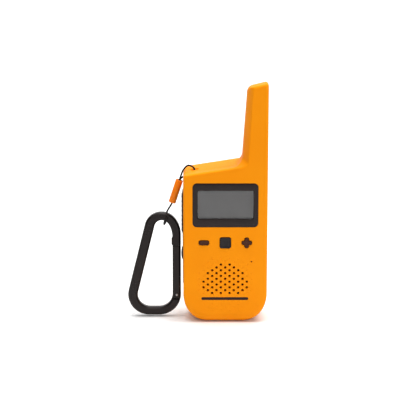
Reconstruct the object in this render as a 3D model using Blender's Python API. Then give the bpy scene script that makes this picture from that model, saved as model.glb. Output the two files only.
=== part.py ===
"""Two way radio: a handheld radio with a fixed stub antenna, display, front keys, speaker grille,
side keys, port cover, battery door, belt clip and a lanyard with a carabiner.

Shapes are worked out in millimetres in the case's own frame: X to the antenna side, Y to the back,
Z up, with Y = 0 in the middle of the case's depth. Objects are in metres, and at the end everything
moves by ORIGIN_SHIFT, so that the origin is under the middle of the radio's footprint.
"""

import math

import bmesh
import bpy
from mathutils import Matrix, Vector

# ------------------------------------------------------------------ driving dimensions, mm
CASE_W = 57.0           # across the front
CASE_FRONT = -15.0      # front plane
CASE_BACK = 15.0        # rear plane
WALL = 2.0
PARTING = -7.0          # plane where the front and rear housings meet
GAP = 0.3

BASE_A, BASE_B, BASE_N = 16.7, 21.0, 2.1     # rounded base corners: width, height, exponent
SHOULDER_Z, SHOULDER_SLOPE = 103.5, 0.158    # top shoulder at the left side, rise per mm to the right
TIP_Z = 166.0
ANT_FOOT, ANT_HEAD = (11.8, 121.9), (14.1, 158.8)          # antenna's left flank at mid depth
ANT_FOOT_F, ANT_HEAD_F = (15.65, 114.2), (18.35, 159.9)    # the same flank on the front plane
ANT_BACK_TIP, ANT_BACK_BASE = -4.0, 8.0      # depth of the antenna's back at its tip and base

WINDOW = (-22.1, 22.0, 67.8, 98.2)           # display frame: x0, x1, z0, z1
GLASS = (-18.75, 18.95, 73.6, 93.05)         # visible display
KEY_Z, KEY_PITCH, KEY_TRAVEL = 56.8, 14.5, 0.8
MIC_AT = (17.8, 43.45)
GRILLE_PITCH_X, GRILLE_PITCH_Z, GRILLE_R = 2.9, 4.05, 0.82
GRILLE_COUNTS = (2, 4, 5, 5, 6, 5, 6, 5, 5, 4, 2)
GRILLE_LOW = 21.1
SPEAKER_AT = (0.0, 31.0)

STRIP = (26.1, 90.4, -11.0, 4.0)             # side strip: z0, z1, y0, y1
STRIP_X = -29.2
PTT = (61.8, 89.6, -8.9, 1.9)
CALL = (42.9, 50.3, -7.4, 0.4)
SIDE_TRAVEL = 1.0

PORT = (74.5, 89.5, -5.0, 5.0)               # port cover: z0, z1, y0, y1
BAY = (-16.6, 16.6, 8.5, 57.3, 2.2)          # battery bay: x0, x1, z0, z1, front
CELL_R, CELL_LEN, CELL_PITCH = 5.15, 44.5, 10.8
DOOR = (-17.5, 17.5, 8.5, 57.5)
CLIP_PIN_AT = (20.6, 85.0)                   # y, z
SCREWS = ((-10.0, 100.7), (19.6, 103.6), (-21.3, 28.0), (21.3, 28.0))

EYE_TOP, EYE_SIDE = (-21.2, 102.4), (-30.0, 98.5)   # lanyard eyelet's bore in x, z
EYE_R = 1.75
BEAD_TOP, BEAD_LOW = (-31.0, 97.0), (-36.2, 81.2)
BEAD_R, BEAD_BORE = 2.5, 1.6
CORD_R = 0.62
HOOK_AT = (-40.0, 71.0)                      # where the cord holds the carabiner, x, z
LANYARD_PIVOT = (-26.0, 103.0)                # where the lanyard swings at the shoulder, x, z
HOOK_PIVOT = (-41.6, 67.0)                    # where the stock rests on the cord, x, z
HOOK_D = 5.0                                 # carabiner's stock, front to back
HOOK_TOP, HOOK_BOTTOM, HOOK_RIGHT = 74.5, 1.1, -30.25
HOOK_LEAN, HOOK_LEFT = 0.2463, -61.2         # outer left side: x at z = 39.8 and lean
HOOK_SPINE, HOOK_GATE, HOOK_ENDS = 6.65, 5.8, 5.6
GATE_PIN_AT = (-33.15, 15.6)

CLIP_IN, CLIP_OUT = 21.3, 23.1                # the lever's inner and outer face, y
CLIP_SCREW_Z = (71.5, 77.5)
CORD_SLACK = 0.7                              # how much lower the end loop hangs than a round one
ORIGIN_SHIFT = (0.000575, -0.00377, 0.0)

for old in list(bpy.data.objects):
    bpy.data.objects.remove(old, do_unlink=True)


# ------------------------------------------------------------------ materials
def material(name, colour, rough, metal=0.0):
    m = bpy.data.materials.new(name)
    m.use_nodes = True
    p = m.node_tree.nodes["Principled BSDF"]
    p.inputs["Base Color"].default_value = (*colour, 1.0)
    p.inputs["Roughness"].default_value = rough
    p.inputs["Metallic"].default_value = metal
    m.diffuse_color = (*colour, 1.0)
    return m


YELLOW = (0.90, 0.26, 0.006)
BLACK = (0.022, 0.018, 0.017)


# ------------------------------------------------------------------ mesh helpers (input in mm)
def mesh_object(name, verts, faces, colour, rough=0.5, metal=0.0, origin=(0, 0, 0), smooth=35):
    bm = bmesh.new()
    o = Vector(origin)
    vs = [bm.verts.new((Vector(v) - o) / 1000.0) for v in verts]
    for f in faces:
        bm.faces.new([vs[i] for i in f])
    bmesh.ops.recalc_face_normals(bm, faces=bm.faces)
    me = bpy.data.meshes.new(name)
    bm.to_mesh(me)
    bm.free()
    if smooth:
        me.shade_smooth()
        me.set_sharp_from_angle(angle=math.radians(smooth))
    ob = bpy.data.objects.new(name, me)
    ob.location = o / 1000.0
    bpy.context.scene.collection.objects.link(ob)
    me.materials.append(material(name + "_mat", colour, rough, metal))
    return ob


def loft_faces(n, rings):
    faces = [tuple(range(n))[::-1], tuple(range(n * (rings - 1), n * rings))]
    for r in range(rings - 1):
        for i in range(n):
            j = (i + 1) % n
            faces.append((r * n + i, r * n + j, (r + 1) * n + j, (r + 1) * n + i))
    return faces


def loft(name, rings, colour, **kw):
    n = len(rings[0])
    return mesh_object(name, [p for r in rings for p in r], loft_faces(n, len(rings)), colour, **kw)


def prism_xz(name, poly, y0, y1, colour, **kw):
    return loft(name, [[(x, y0, z) for x, z in poly], [(x, y1, z) for x, z in poly]], colour, **kw)


def prism_yz(name, poly, x0, x1, colour, **kw):
    return loft(name, [[(x0, y, z) for y, z in poly], [(x1, y, z) for y, z in poly]], colour, **kw)


def box(name, lo, hi, colour, **kw):
    return prism_xz(name, [(lo[0], lo[2]), (hi[0], lo[2]), (hi[0], hi[2]), (lo[0], hi[2])], lo[1], hi[1], colour, **kw)


def circle(cx, cz, r, n, turn=0.0):
    return [(cx + r * math.cos(2 * math.pi * (k + turn) / n), cz + r * math.sin(2 * math.pi * (k + turn) / n)) for k in range(n)]


def rounded(x0, x1, z0, z1, r, n=4):
    pts = []
    for cx, cz, a in ((x1 - r, z0 + r, -90), (x1 - r, z1 - r, 0), (x0 + r, z1 - r, 90), (x0 + r, z0 + r, 180)):
        for k in range(n + 1):
            t = math.radians(a + 90.0 * k / n)
            pts.append((cx + r * math.cos(t), cz + r * math.sin(t)))
    return pts


def ring_xz(name, outer, inner, y0, y1, colour, **kw):
    """A frame between two outlines with the same number of points."""
    n = len(outer)
    verts = [(x, y0, z) for x, z in outer] + [(x, y1, z) for x, z in outer]
    verts += [(x, y1, z) for x, z in inner] + [(x, y0, z) for x, z in inner]
    faces = []
    for r in range(4):
        for i in range(n):
            j = (i + 1) % n
            s = (r + 1) % 4
            faces.append((r * n + i, r * n + j, s * n + j, s * n + i))
    return mesh_object(name, verts, faces, colour, **kw)


def turned(name, base, axis, profile, n, colour, closed=False, **kw):
    """A profile of (along, radius) turned about an axis. A closed profile makes a ring or a sleeve."""
    a = Vector(axis).normalized()
    u = a.orthogonal().normalized()
    v = a.cross(u)
    verts, faces, rows = [], [], []
    for s, r in profile:
        if r < 1e-6:
            rows.append([len(verts)])
            verts.append(tuple(Vector(base) + a * s))
        else:
            rows.append(list(range(len(verts), len(verts) + n)))
            for k in range(n):
                t = 2 * math.pi * k / n
                verts.append(tuple(Vector(base) + a * s + (u * math.cos(t) + v * math.sin(t)) * r))
    pairs = list(zip(rows, rows[1:])) + ([(rows[-1], rows[0])] if closed else [])
    for p, q in pairs:
        for k in range(n):
            m = (k + 1) % n
            if len(p) == 1 and len(q) == 1:
                break
            if len(p) == 1:
                faces.append((p[0], q[k], q[m]))
            elif len(q) == 1:
                faces.append((p[k], p[m], q[0]))
            else:
                faces.append((p[k], p[m], q[m], q[k]))
    if not closed:
        for row in (rows[0], rows[-1]):
            if len(row) > 1:
                faces.append(tuple(row))
    return mesh_object(name, verts, faces, colour, **kw)


def tube(name, points, r, colour, rough=0.8, metal=0.0, res=2, origin=(0, 0, 0)):
    cu = bpy.data.curves.new(name, "CURVE")
    cu.dimensions = "3D"
    cu.bevel_depth = r / 1000.0
    cu.bevel_resolution = res
    cu.use_fill_caps = True
    sp = cu.splines.new("POLY")
    sp.points.add(len(points) - 1)
    o = Vector(origin)
    for p, q in zip(sp.points, points):
        p.co = (*((Vector(q) - o) / 1000.0), 1.0)
    ob = bpy.data.objects.new(name, cu)
    ob.location = o / 1000.0
    bpy.context.scene.collection.objects.link(ob)
    cu.materials.append(material(name + "_mat", colour, rough, metal))
    return ob


def smooth_path(points, step):
    """A Catmull-Rom curve through the points, read at even steps."""
    p = [Vector(q) for q in points]
    p = [p[0] * 2 - p[1]] + p + [p[-1] * 2 - p[-2]]
    fine = []
    for i in range(1, len(p) - 2):
        for k in range(24):
            t = k / 24.0
            a, b, c, d = p[i - 1], p[i], p[i + 1], p[i + 2]
            fine.append(0.5 * ((2 * b) + (c - a) * t + (2 * a - 5 * b + 4 * c - d) * t * t + (3 * b - a - 3 * c + d) * t ** 3))
    fine.append(p[-2])
    total = sum((fine[i + 1] - fine[i]).length for i in range(len(fine) - 1))
    count = max(2, round(total / step))
    out, run, k = [fine[0]], 0.0, 1
    for i in range(len(fine) - 1):
        seg = (fine[i + 1] - fine[i]).length
        while k < count and run + seg >= total * k / count:
            out.append(fine[i].lerp(fine[i + 1], (total * k / count - run) / seg))
            k += 1
        run += seg
    out.append(fine[-1])
    return out


def cut(ob, cutter, op="DIFFERENCE"):
    m = ob.modifiers.new(op.lower() + "_" + cutter.name, "BOOLEAN")
    m.operation = op
    m.solver = "EXACT"
    m.object = cutter
    cutter.hide_render = True
    cutter.display_type = "WIRE"
    cutter.name = "guide_" + cutter.name
    return ob


def several(name, parts, colour=BLACK):
    """One cutter holding separate closed shapes, each given as (verts, faces)."""
    verts, faces = [], []
    for vs, fs in parts:
        base = len(verts)
        verts += vs
        faces += [tuple(i + base for i in f) for f in fs]
    return mesh_object(name, verts, faces, colour, smooth=0)


def rod_shape(x, z, r, y0, y1, n):
    c = circle(x, z, r, n)
    return [(a, y0, b) for a, b in c] + [(a, y1, b) for a, b in c], loft_faces(n, 2)


def bevel(ob, width, segments=1, angle=40):
    m = ob.modifiers.new("bevel", "BEVEL")
    m.width = width / 1000.0
    m.segments = segments
    m.limit_method = "ANGLE"
    m.angle_limit = math.radians(angle)
    return ob


# ------------------------------------------------------------------ case outlines
def corner(p, q, s, r, n):
    """Points of a round of radius r at q, between the lines from p and to s."""
    p, q, s = Vector(p), Vector(q), Vector(s)
    a, b = (p - q).normalized(), (s - q).normalized()
    half = a.angle(b) / 2
    t = r / math.tan(half)
    c = q + (a + b).normalized() * (r / math.sin(half))
    v0, v1 = (q + a * t) - c, (q + b * t) - c
    turn = math.atan2(v0.x * v1.y - v0.y * v1.x, v0.dot(v1))
    out = []
    for k in range(n + 1):
        g = turn * k / n
        out.append(c + Vector((v0.x * math.cos(g) - v0.y * math.sin(g), v0.x * math.sin(g) + v0.y * math.cos(g))))
    return out


def shoulder(x):
    return SHOULDER_Z + SHOULDER_SLOPE * (x + CASE_W / 2)


def line_x(a, b, z):
    return a[0] + (b[0] - a[0]) * (z - a[1]) / (b[1] - a[1])


def outline(side, low, top, foot, head, crest, fillet, inset=0.0, antenna=True, depths=(1.6, 1.6, 7.0, 1.6, 1.6, 6.0)):
    """The case's outline as (x, z, depth of its edge round): the right base corner, up the right side,
    the antenna, the shoulder and down the left side. side, low and top pull the sides, the base and
    the shoulder in; inset moves every line inwards for the inner faces."""
    xr, xl = CASE_W / 2 - side - inset, -CASE_W / 2 + side + inset
    zb = low + inset
    a, b = BASE_A - side * 0.45 - inset, BASE_B - low * 0.35 - inset
    d_right, d_top, d_flank, d_sh, d_left, d_low = depths
    pts = []
    nb = 9
    for k in range(nb + 1):
        t = math.radians(90.0 * k / nb)
        w = math.sin(t) ** 2
        pts.append((xr - a + a * math.sin(t) ** (2 / BASE_N), zb + b - b * math.cos(t) ** (2 / BASE_N), d_low + (d_right - d_low) * w))
    drop = top + inset

    def sh(x):
        return shoulder(x) - drop

    if antenna:
        f, h = (foot[0] + inset, foot[1]), (head[0] + inset, head[1])
        zc = crest - inset
        right_top = (xr, zc + 0.45)
        left_top = (line_x(f, h, zc - 3.0), zc - 3.0)
        xi = f[0]
        for _ in range(20):
            xi = line_x(f, h, sh(xi))
        inner = (xi, sh(xi))
        seq = [((xr, 60.0), right_top, left_top, 1.9, 4, d_right, d_top),
               (right_top, left_top, inner, 5.0, 5, d_top, d_flank),
               (left_top, inner, (xl, sh(xl)), fillet + inset, 6, d_flank, d_sh)]
        before = inner
    else:
        right_top = (xr, sh(xr))
        seq = [((xr, 60.0), right_top, (xl, sh(xl)), 3.0, 4, d_right, d_sh)]
        before = right_top
    seq.append((before, (xl, sh(xl)), (xl, 60.0), max(2.6 - inset * 0.5, 0.8), 4, d_sh, d_left))
    for p, q, s, r, n, d0, d1 in seq:
        for k, v in enumerate(corner(p, q, s, r, n)):
            pts.append((v.x, v.y, d0 + (d1 - d0) * k / n))
    for k in range(nb + 1):
        t = math.radians(90.0 * (nb - k) / nb)
        w = math.sin(t) ** 2
        pts.append((xl + a - a * math.sin(t) ** (2 / BASE_N), zb + b - b * math.cos(t) ** (2 / BASE_N), d_low + (d_left - d_low) * w))
    return pts


def eased(g, depth):
    """A point of the front edge's section at g degrees: round where the edge is shallow, near flat on the antenna's deep flank."""
    w = min(max((depth - 2.0) / 4.5, 0.0), 1.0)
    k = 1.0 + 0.62 * w
    return math.sin(math.radians(g)) ** k, 1 - max(math.cos(math.radians(g)), 0.0) ** k


def front_rings(inset_front, inset_side, y_front, y_end, shrink=0.0, angles=(0, 45, 90)):
    face = outline(1.55, 6.6, 1.2, ANT_FOOT_F, ANT_HEAD_F, TIP_Z - 1.6, 5.0, inset_front)
    side = outline(0.0, 0.0, 0.0, ANT_FOOT, ANT_HEAD, TIP_Z, 7.5, inset_side)
    rings = []
    for g in angles:
        rings.append([(f[0] + (e[0] - f[0]) * s, y_front + max(e[2] - shrink, 0.4) * c, f[1] + (e[1] - f[1]) * s) for f, e, (s, c) in ((f, e, eased(g, e[2] if e[1] > 100.0 else 0.0)) for f, e in zip(face, side))])
    rings.append([(e[0], y_end, e[1]) for e in side])
    return rings


def back_rings(inset_back, inset_side, y_start, y_back, shrink=0.0, angles=(0, 30, 60, 90)):
    deep = (10.0, 3.0, 3.0, 3.5, 10.0, 5.0)
    side = outline(0.0, 0.0, 0.0, None, None, 0, 0, inset_side, False, deep)
    back = outline(7.8, 2.6, 2.2, None, None, 0, 0, inset_back, False, deep)
    rings = [[(e[0], y_start, e[1]) for e in side]]
    for g in angles:
        s, c = math.sin(math.radians(g)), math.cos(math.radians(g))
        rings.append([(e[0] + (f[0] - e[0]) * (1 - c), y_back - max(e[2] - shrink, 0.5) * (1 - s), e[1] + (f[1] - e[1]) * (1 - c)) for e, f in zip(side, back)])
    return rings


def antenna_back(z):
    return ANT_BACK_TIP + (ANT_BACK_BASE - ANT_BACK_TIP) * (163.0 - z) / 55.0


def antenna_rear_rings():
    """The antenna's rear half and its foot, which runs down into the case."""
    def ring(inset):
        f, h = (ANT_FOOT[0] + inset, ANT_FOOT[1]), (ANT_HEAD[0] + inset, ANT_HEAD[1])
        xr, zc = CASE_W / 2 - inset - 0.04, TIP_Z - inset * 0.6
        rt, lt = (xr, zc + 0.45), (line_x(f, h, zc - 3.0), zc - 3.0)
        xi = f[0]
        for _ in range(20):
            xi = line_x(f, h, shoulder(xi) - 0.15)
        inner = (xi, shoulder(xi) - 0.15)
        left = (xi - 9.0, shoulder(xi - 9.0) - 0.15)
        pts = [(xr, 97.0)]
        pts += [tuple(v) for v in corner((xr, 100.0), rt, lt, 1.9, 4)]
        pts += [tuple(v) for v in corner(rt, lt, inner, 5.0, 5)]
        pts += [tuple(v) for v in corner(lt, inner, left, 7.5, 6)]
        pts += [left, (xi - 9.0, 97.0)]
        return pts
    side, back = ring(0.0), ring(2.0)
    rings = [[(x, PARTING + 0.15, z) for x, z in side]]
    for g in (0, 45, 90):
        s, c = math.sin(math.radians(g)), math.cos(math.radians(g))
        row = []
        for (x, z), (u, w) in zip(side, back):
            z1 = z + (w - z) * (1 - c)
            d = min(3.0, (antenna_back(z1) - PARTING - 0.15) * 0.8)
            row.append((x + (u - x) * (1 - c), antenna_back(z1) - d * (1 - s), z1))
        rings.append(row)
    return rings


# ------------------------------------------------------------------ front housing
front = loft("front_housing", front_rings(0.0, 0.0, CASE_FRONT, PARTING - 0.15), YELLOW, rough=0.42)
cut(front, loft("front_hollow", front_rings(1.6, WALL, CASE_FRONT + WALL, PARTING + 1.0, 1.5), BLACK))
for i, (x, z) in enumerate(SCREWS):
    cut(front, prism_xz(f"front_boss_{i}", circle(x, z, 2.4, 12), CASE_FRONT + 1, PARTING - 0.35, BLACK), "UNION")
cut(front, several("front_boss_drills", [rod_shape(x, z, 1.25, CASE_FRONT + 3, 0, 10) for x, z in SCREWS]))
x0, x1, z0, z1 = WINDOW
cut(front, prism_xz("window_seat", rounded(x0 - GAP, x1 + GAP, z0 - GAP, z1 + GAP, 3.0), CASE_FRONT - 1, CASE_FRONT + 1.4, BLACK))
cut(front, prism_xz("window_hole", rounded(x0 + 2.2, x1 - 2.2, z0 + 2.2, z1 - 2.2, 1.0, 1), CASE_FRONT - 1, CASE_FRONT + 4, BLACK))


def plus_outline(cx, cz, w, h, arm, r):
    """A rounded cross: its four arm ends and the inner corners."""
    pts = []
    a = arm / 2
    raw = [(a, -h / 2), (a, -a), (w / 2, -a), (w / 2, a), (a, a), (a, h / 2), (-a, h / 2), (-a, a), (-w / 2, a), (-w / 2, -a), (-a, -a), (-a, -h / 2)]
    for k in range(12):
        p, q, s = raw[k - 1], raw[k], raw[(k + 1) % 12]
        concave = k in (1, 4, 7, 10)
        for v in corner(p, q, s, r * (0.5 if concave else 1.0), 2):
            pts.append((cx + v.x, cz + v.y))
    return pts


def key_outline(kind, grow):
    if kind == "minus":
        return rounded(-KEY_PITCH - 3.3 - grow, -KEY_PITCH + 3.3 + grow, KEY_Z - 1.5 - grow, KEY_Z + 1.5 + grow, 1.0 + grow)
    if kind == "menu":
        return rounded(-3.6 - grow, 3.6 + grow, KEY_Z - 3.65 - grow, KEY_Z + 3.65 + grow, 1.1 + grow)
    return plus_outline(KEY_PITCH, KEY_Z, 6.6 + 2 * grow, 6.9 + 2 * grow, 2.5 + 2 * grow, 0.9 + grow * 0.6)


for kind in ("minus", "menu", "plus"):
    cut(front, prism_xz(kind + "_hole", key_outline(kind, 0.35), CASE_FRONT - 1, CASE_FRONT + 4, BLACK))


def grille_holes():
    mid = len(GRILLE_COUNTS) // 2
    for col, count in enumerate(GRILLE_COUNTS):
        x = (col - mid) * GRILLE_PITCH_X + math.copysign(0.05, col - mid) * abs(col - mid)
        odd = col % 2
        low = GRILLE_LOW + (0.0 if col in (2, 4, 6, 8) else GRILLE_PITCH_Z / 2)
        if col in (0, len(GRILLE_COUNTS) - 1):
            low = GRILLE_LOW + GRILLE_PITCH_Z
        for k in range(count):
            yield x, low + k * GRILLE_PITCH_Z


cut(front, several("grille_drills", [rod_shape(x, z, GRILLE_R, CASE_FRONT - 1, CASE_FRONT + 4, 8) for x, z in grille_holes()] + [rod_shape(*MIC_AT, 0.5, CASE_FRONT - 1, CASE_FRONT + 4, 8)]))

# ------------------------------------------------------------------ rear housing
rear = loft("rear_housing", back_rings(0.0, 0.0, PARTING + 0.15, CASE_BACK), YELLOW, rough=0.42)
cut(rear, loft("antenna_rear", antenna_rear_rings(), BLACK), "UNION")
groove = [(x, z) for x, z, _ in outline(0, 0, 0, ANT_FOOT, ANT_HEAD, TIP_Z, 7.5, WALL + 0.05)]
cut(rear, prism_xz("seal_groove", groove, PARTING - 1.0, PARTING + 1.0, BLACK))
cut(rear, loft("rear_hollow", back_rings(1.0, WALL, PARTING - 1.0, CASE_BACK - WALL, 1.5), BLACK))
lo, hi = 96.5, 153.0
ya, yb = antenna_back(lo) - 2.2, antenna_back(hi) - 2.2
cut(rear, mesh_object("antenna_hollow", [
    (18.6, PARTING - 1, 101.0), (26.4, PARTING - 1, 101.0), (26.4, antenna_back(101.0) - 2.2, 101.0), (18.6, antenna_back(101.0) - 2.2, 101.0),
    (18.6, PARTING - 1, hi), (26.4, PARTING - 1, hi), (26.4, yb, hi), (18.6, yb, hi)],
    [(0, 1, 2, 3), (4, 5, 6, 7), (0, 1, 5, 4), (1, 2, 6, 5), (2, 3, 7, 6), (3, 0, 4, 7)], BLACK, smooth=0))
# the battery bay's box, the screw bosses and the eyelet's solid corner
bx0, bx1, bz0, bz1, by = BAY
cut(rear, box("bay_box", (bx0 - 1.2, by - 1.2, bz0 - 1.2), (bx1 + 1.2, CASE_BACK - 1.0, bz1 + 1.2), BLACK), "UNION")
for i, (x, z) in enumerate(SCREWS):
    cut(rear, prism_xz(f"rear_boss_{i}", circle(x, z, 2.5, 12), PARTING + 0.35, CASE_BACK - 0.6, BLACK), "UNION")
cut(rear, prism_xz("eyelet_block", [(-27.6, 94.9), (-18.8, 98.4), (-16.6, shoulder(-16.6) - 0.6), (-27.0, shoulder(-27.0) - 1.2)], -4.4, 4.4, BLACK), "UNION")
dx0, dx1, dz0, dz1 = DOOR
cut(rear, prism_xz("door_seat", rounded(dx0 - GAP, dx1 + GAP, dz0 - GAP, dz1 + 0.8, 3.6), CASE_BACK - 1.9, CASE_BACK + 2, BLACK))
cut(rear, box("bay_hollow", (bx0, by, bz0 + 0.9), (bx1, CASE_BACK + 2, bz1 - 0.6), BLACK))
cut(rear, several("rear_boss_drills", [rod_shape(x, z, 1.25, PARTING - 1, CASE_BACK + 2, 10) for x, z in SCREWS]))
cut(rear, several("screw_seats", [rod_shape(x, z, 2.1, CASE_BACK - 2.6, CASE_BACK + 3, 12) for x, z in SCREWS]))
cut(rear, turned("eyelet_well", (EYE_TOP[0], 0, EYE_TOP[1] - 1.2), (0, 0, 1), [(0, EYE_R), (5, EYE_R), (6, EYE_R + 1)], 12, BLACK))
# the mouth of the eyelet is a wide dish in the shoulder
cut(rear, turned("eyelet_dish", (EYE_TOP[0] + 0.13, -0.9, shoulder(EYE_TOP[0]) - 1.55), (0, 0, 1), [(0, 2.05), (1.55, 3.0), (3.7, 4.3)], 14, BLACK))
eye = Vector((EYE_SIDE[0] - EYE_TOP[0], 0, EYE_SIDE[1] - EYE_TOP[1]))
cut(rear, turned("eyelet_bore", (EYE_TOP[0], 0, EYE_TOP[1]), eye, [(0, EYE_R), (eye.length, EYE_R)], 12, BLACK))

# ------------------------------------------------------------------ the side strip's recess, in both housings
sz0, sz1, sy0, sy1 = STRIP
for ob, tag in ((front, "front"), (rear, "rear")):
    cut(ob, prism_yz("strip_seat_" + tag, [(p, q) for p, q in rounded(sy0 - GAP, sy1 + GAP, sz0 - GAP, sz1 + GAP, 2.6, 3)], -27.1, -33.0, BLACK))
    cut(ob, several("stem_holes_" + tag, [
        ([(x, y, z) for x in (-33.0, -24.5) for y, z in ((-6.0, 72.6), (-1.4, 72.6), (-1.4, 78.4), (-6.0, 78.4))], loft_faces(4, 2)),
        ([(x, y, z) for x in (-33.0, -24.5) for y, z in ((-5.6, 44.4), (-1.8, 44.4), (-1.8, 48.8), (-5.6, 48.8))], loft_faces(4, 2))]))
# the port's opening and the seat of its cover, in the right side of the rear housing
pz0, pz1, py0, py1 = PORT
cut(rear, box("port_seat", (26.95, py0 - GAP, pz0 - GAP), (33.0, py1 + 1.5, pz1 + GAP), BLACK))
cut(rear, box("port_hole", (24.0, -3.9, pz0 + 1.6), (33.0, 3.9, pz1 - 1.6), BLACK))
# holes for the belt clip's screws
cut(rear, several("clip_drills", [rod_shape(0, z, 1.3, 10, CASE_BACK + 3, 10) for z in CLIP_SCREW_Z]))

# ------------------------------------------------------------------ seal between the housings
seal_o = outline(0, 0, 0, ANT_FOOT, ANT_HEAD, TIP_Z, 7.5, WALL + 0.35)
seal_i = outline(0, 0, 0, ANT_FOOT, ANT_HEAD, TIP_Z, 7.5, WALL + 1.25)
ring_xz("housing_seal", [(x, z) for x, z, _ in seal_o], [(x, z) for x, z, _ in seal_i], PARTING - 0.6, PARTING + 0.6, BLACK, rough=0.8)

# ------------------------------------------------------------------ display
gx0, gx1, gz0, gz1 = GLASS
ring_xz("display_frame", rounded(x0, x1, z0, z1, 2.8), rounded(gx0, gx1, gz0, gz1, 1.0), CASE_FRONT + 0.05, CASE_FRONT + 1.1, (0.03, 0.02, 0.018), rough=0.25)
prism_xz("display_lens", rounded(gx0 + GAP, gx1 - GAP, gz0 + GAP, gz1 - GAP, 0.8), CASE_FRONT + 0.3, CASE_FRONT + 1.0, (0.12, 0.115, 0.11), rough=0.12)
lcx, lcz = (gx0 + gx1) / 2, (gz0 + gz1) / 2
box("lcd_panel", (lcx - 21.0, -12.6, lcz - 12.0), (lcx + 21.0, -10.9, lcz + 12.0), (0.10, 0.10, 0.10), rough=0.3)
box("backlight", (lcx - 21.0, -10.6, lcz - 12.0), (lcx + 21.0, -9.4, lcz + 12.0), (0.75, 0.76, 0.74), rough=0.5)
ring_xz("lcd_holder", rounded(lcx - 22.9, lcx + 22.9, lcz - 14.3, lcz + 14.3, 1.5), rounded(lcx - 21.3, lcx + 21.3, lcz - 12.3, lcz + 12.3, 0.5), -12.7, -8.6, (0.7, 0.7, 0.68), rough=0.5)

# ------------------------------------------------------------------ front keys and their mat
key_colours = {"minus": (0.055, 0.020, 0.010), "menu": (0.025, 0.021, 0.022), "plus": (0.040, 0.022, 0.014)}
for kind in ("minus", "menu", "plus"):
    cx = {"minus": -KEY_PITCH, "menu": 0.0, "plus": KEY_PITCH}[kind]
    body = loft(kind + "_key", [
        [(cx + (x - cx) * 0.93, CASE_FRONT - 0.55, KEY_Z + (z - KEY_Z) * 0.93) for x, z in key_outline(kind, 0)],
        [(x, CASE_FRONT - 0.3, z) for x, z in key_outline(kind, 0)],
        [(x, -12.1, z) for x, z in key_outline(kind, 0)]], key_colours[kind], rough=0.5, origin=(cx, CASE_FRONT, KEY_Z))
    w, h = (4.4, 2.6) if kind == "minus" else (4.8, 4.8)
    cut(body, box(kind + "_flange", (cx - w, -12.6, KEY_Z - h), (cx + w, -11.9, KEY_Z + h), BLACK), "UNION")
box("keypad_mat", (-20.5, -10.7, KEY_Z - 5.6), (20.5, -9.9, KEY_Z + 5.6), (0.3, 0.3, 0.31), rough=0.7)

# ------------------------------------------------------------------ boards and radio parts
board = prism_xz("main_board", [(-21.5, 14.0), (21.5, 14.0), (24.0, 18.0), (24.0, 96.0), (-24.0, 95.0), (-24.0, 18.0)], -4.6, -3.6, (0.02, 0.12, 0.05), rough=0.5)
cut(board, several("board_holes", [rod_shape(x, z, 3.1, -6, -2, 12) for x, z in SCREWS[2:]]))
box("rf_shield", (-12.0, -3.3, 62.0), (12.0, -0.9, 84.0), (0.55, 0.55, 0.53), rough=0.35, metal=1.0)
box("audio_chip", (-19.5, -3.3, 66.0), (-14.0, -2.1, 72.0), BLACK, rough=0.4)
box("antenna_feed", (22.2, -5.6, 96.6), (23.6, -4.9, 110.2), (0.75, 0.55, 0.2), rough=0.3, metal=1.0)
turns, per = 7, 8
tube("antenna_coil", [(22.9 + 2.5 * math.cos(2 * math.pi * k / per), -9.2 + 2.5 * math.sin(2 * math.pi * k / per), 111.5 + 38.0 * k / (turns * per)) for k in range(turns * per + 1)], 0.4, (0.75, 0.35, 0.15), rough=0.3, metal=1.0, res=0)

# ------------------------------------------------------------------ speaker and microphone
sx, szc = SPEAKER_AT
turned("speaker_felt", (sx, -12.75, szc), (0, 1, 0), [(0, 15.0), (0.25, 15.0)], 24, BLACK, rough=0.9)
turned("speaker_frame", (sx, -12.2, szc), (0, 1, 0), [(0, 15.0), (0, 13.6), (1.0, 13.4), (4.0, 8.6), (4.0, 0), (5.0, 0), (5.0, 9.4), (1.3, 15.0)], 18, (0.35, 0.35, 0.36), closed=True, rough=0.4, metal=1.0)
turned("speaker_cone", (sx, -12.0, szc), (0, 1, 0), [(0, 13.0), (0.5, 12.4), (2.6, 4.0), (2.0, 0), (2.5, 0), (3.2, 4.4), (0.9, 13.0)], 18, (0.03, 0.03, 0.03), closed=True, rough=0.7)
turned("speaker_magnet", (sx, -6.95, szc), (0, 1, 0), [(0, 7.6), (1.9, 7.6)], 24, (0.4, 0.4, 0.42), rough=0.3, metal=1.0)
turned("microphone", (MIC_AT[0], -12.0, MIC_AT[1]), (0, 1, 0), [(0, 3.0), (2.2, 3.0)], 16, (0.6, 0.6, 0.58), rough=0.3, metal=1.0)
ring_xz("mic_boot", circle(*MIC_AT, 4.2, 16), circle(*MIC_AT, 3.35, 16), -12.7, -9.8, BLACK, rough=0.85)

# ------------------------------------------------------------------ side strip, side keys and their switches
strip = prism_yz("side_bezel", rounded(sy0, sy1, sz0, sz1, 2.3, 3), -27.4, STRIP_X, BLACK, rough=0.55)
bevel(strip, 0.5)
for tag, (a0, a1, b0, b1) in (("ptt", PTT), ("call", CALL)):
    cut(strip, prism_yz(tag + "_opening", rounded(b0 - GAP, b1 + GAP, a0 - GAP, a1 + GAP if tag == "call" else a1 + 0.15, 0.45, 2), -24.0, -33.0, BLACK))


def ridged(a0, a1, ribs, crest, valley, back):
    """The outline of a side key in x, z: ribs across it on the outer side."""
    pts = [(back, a0), (back, a1), (valley, a1)]
    step = (a1 - a0 - 1.2) / ribs
    for k in range(ribs):
        top = a1 - 0.6 - k * step
        pts += [(valley, top), (crest, top - step * 0.28), (crest, top - step * 0.62), (valley, top - step * 0.9)]
    pts.append((valley, a0))
    keep = [pts[0]]
    for p in pts[1:]:
        if (Vector(p) - Vector(keep[-1])).length > 0.05:
            keep.append(p)
    return keep


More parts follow.
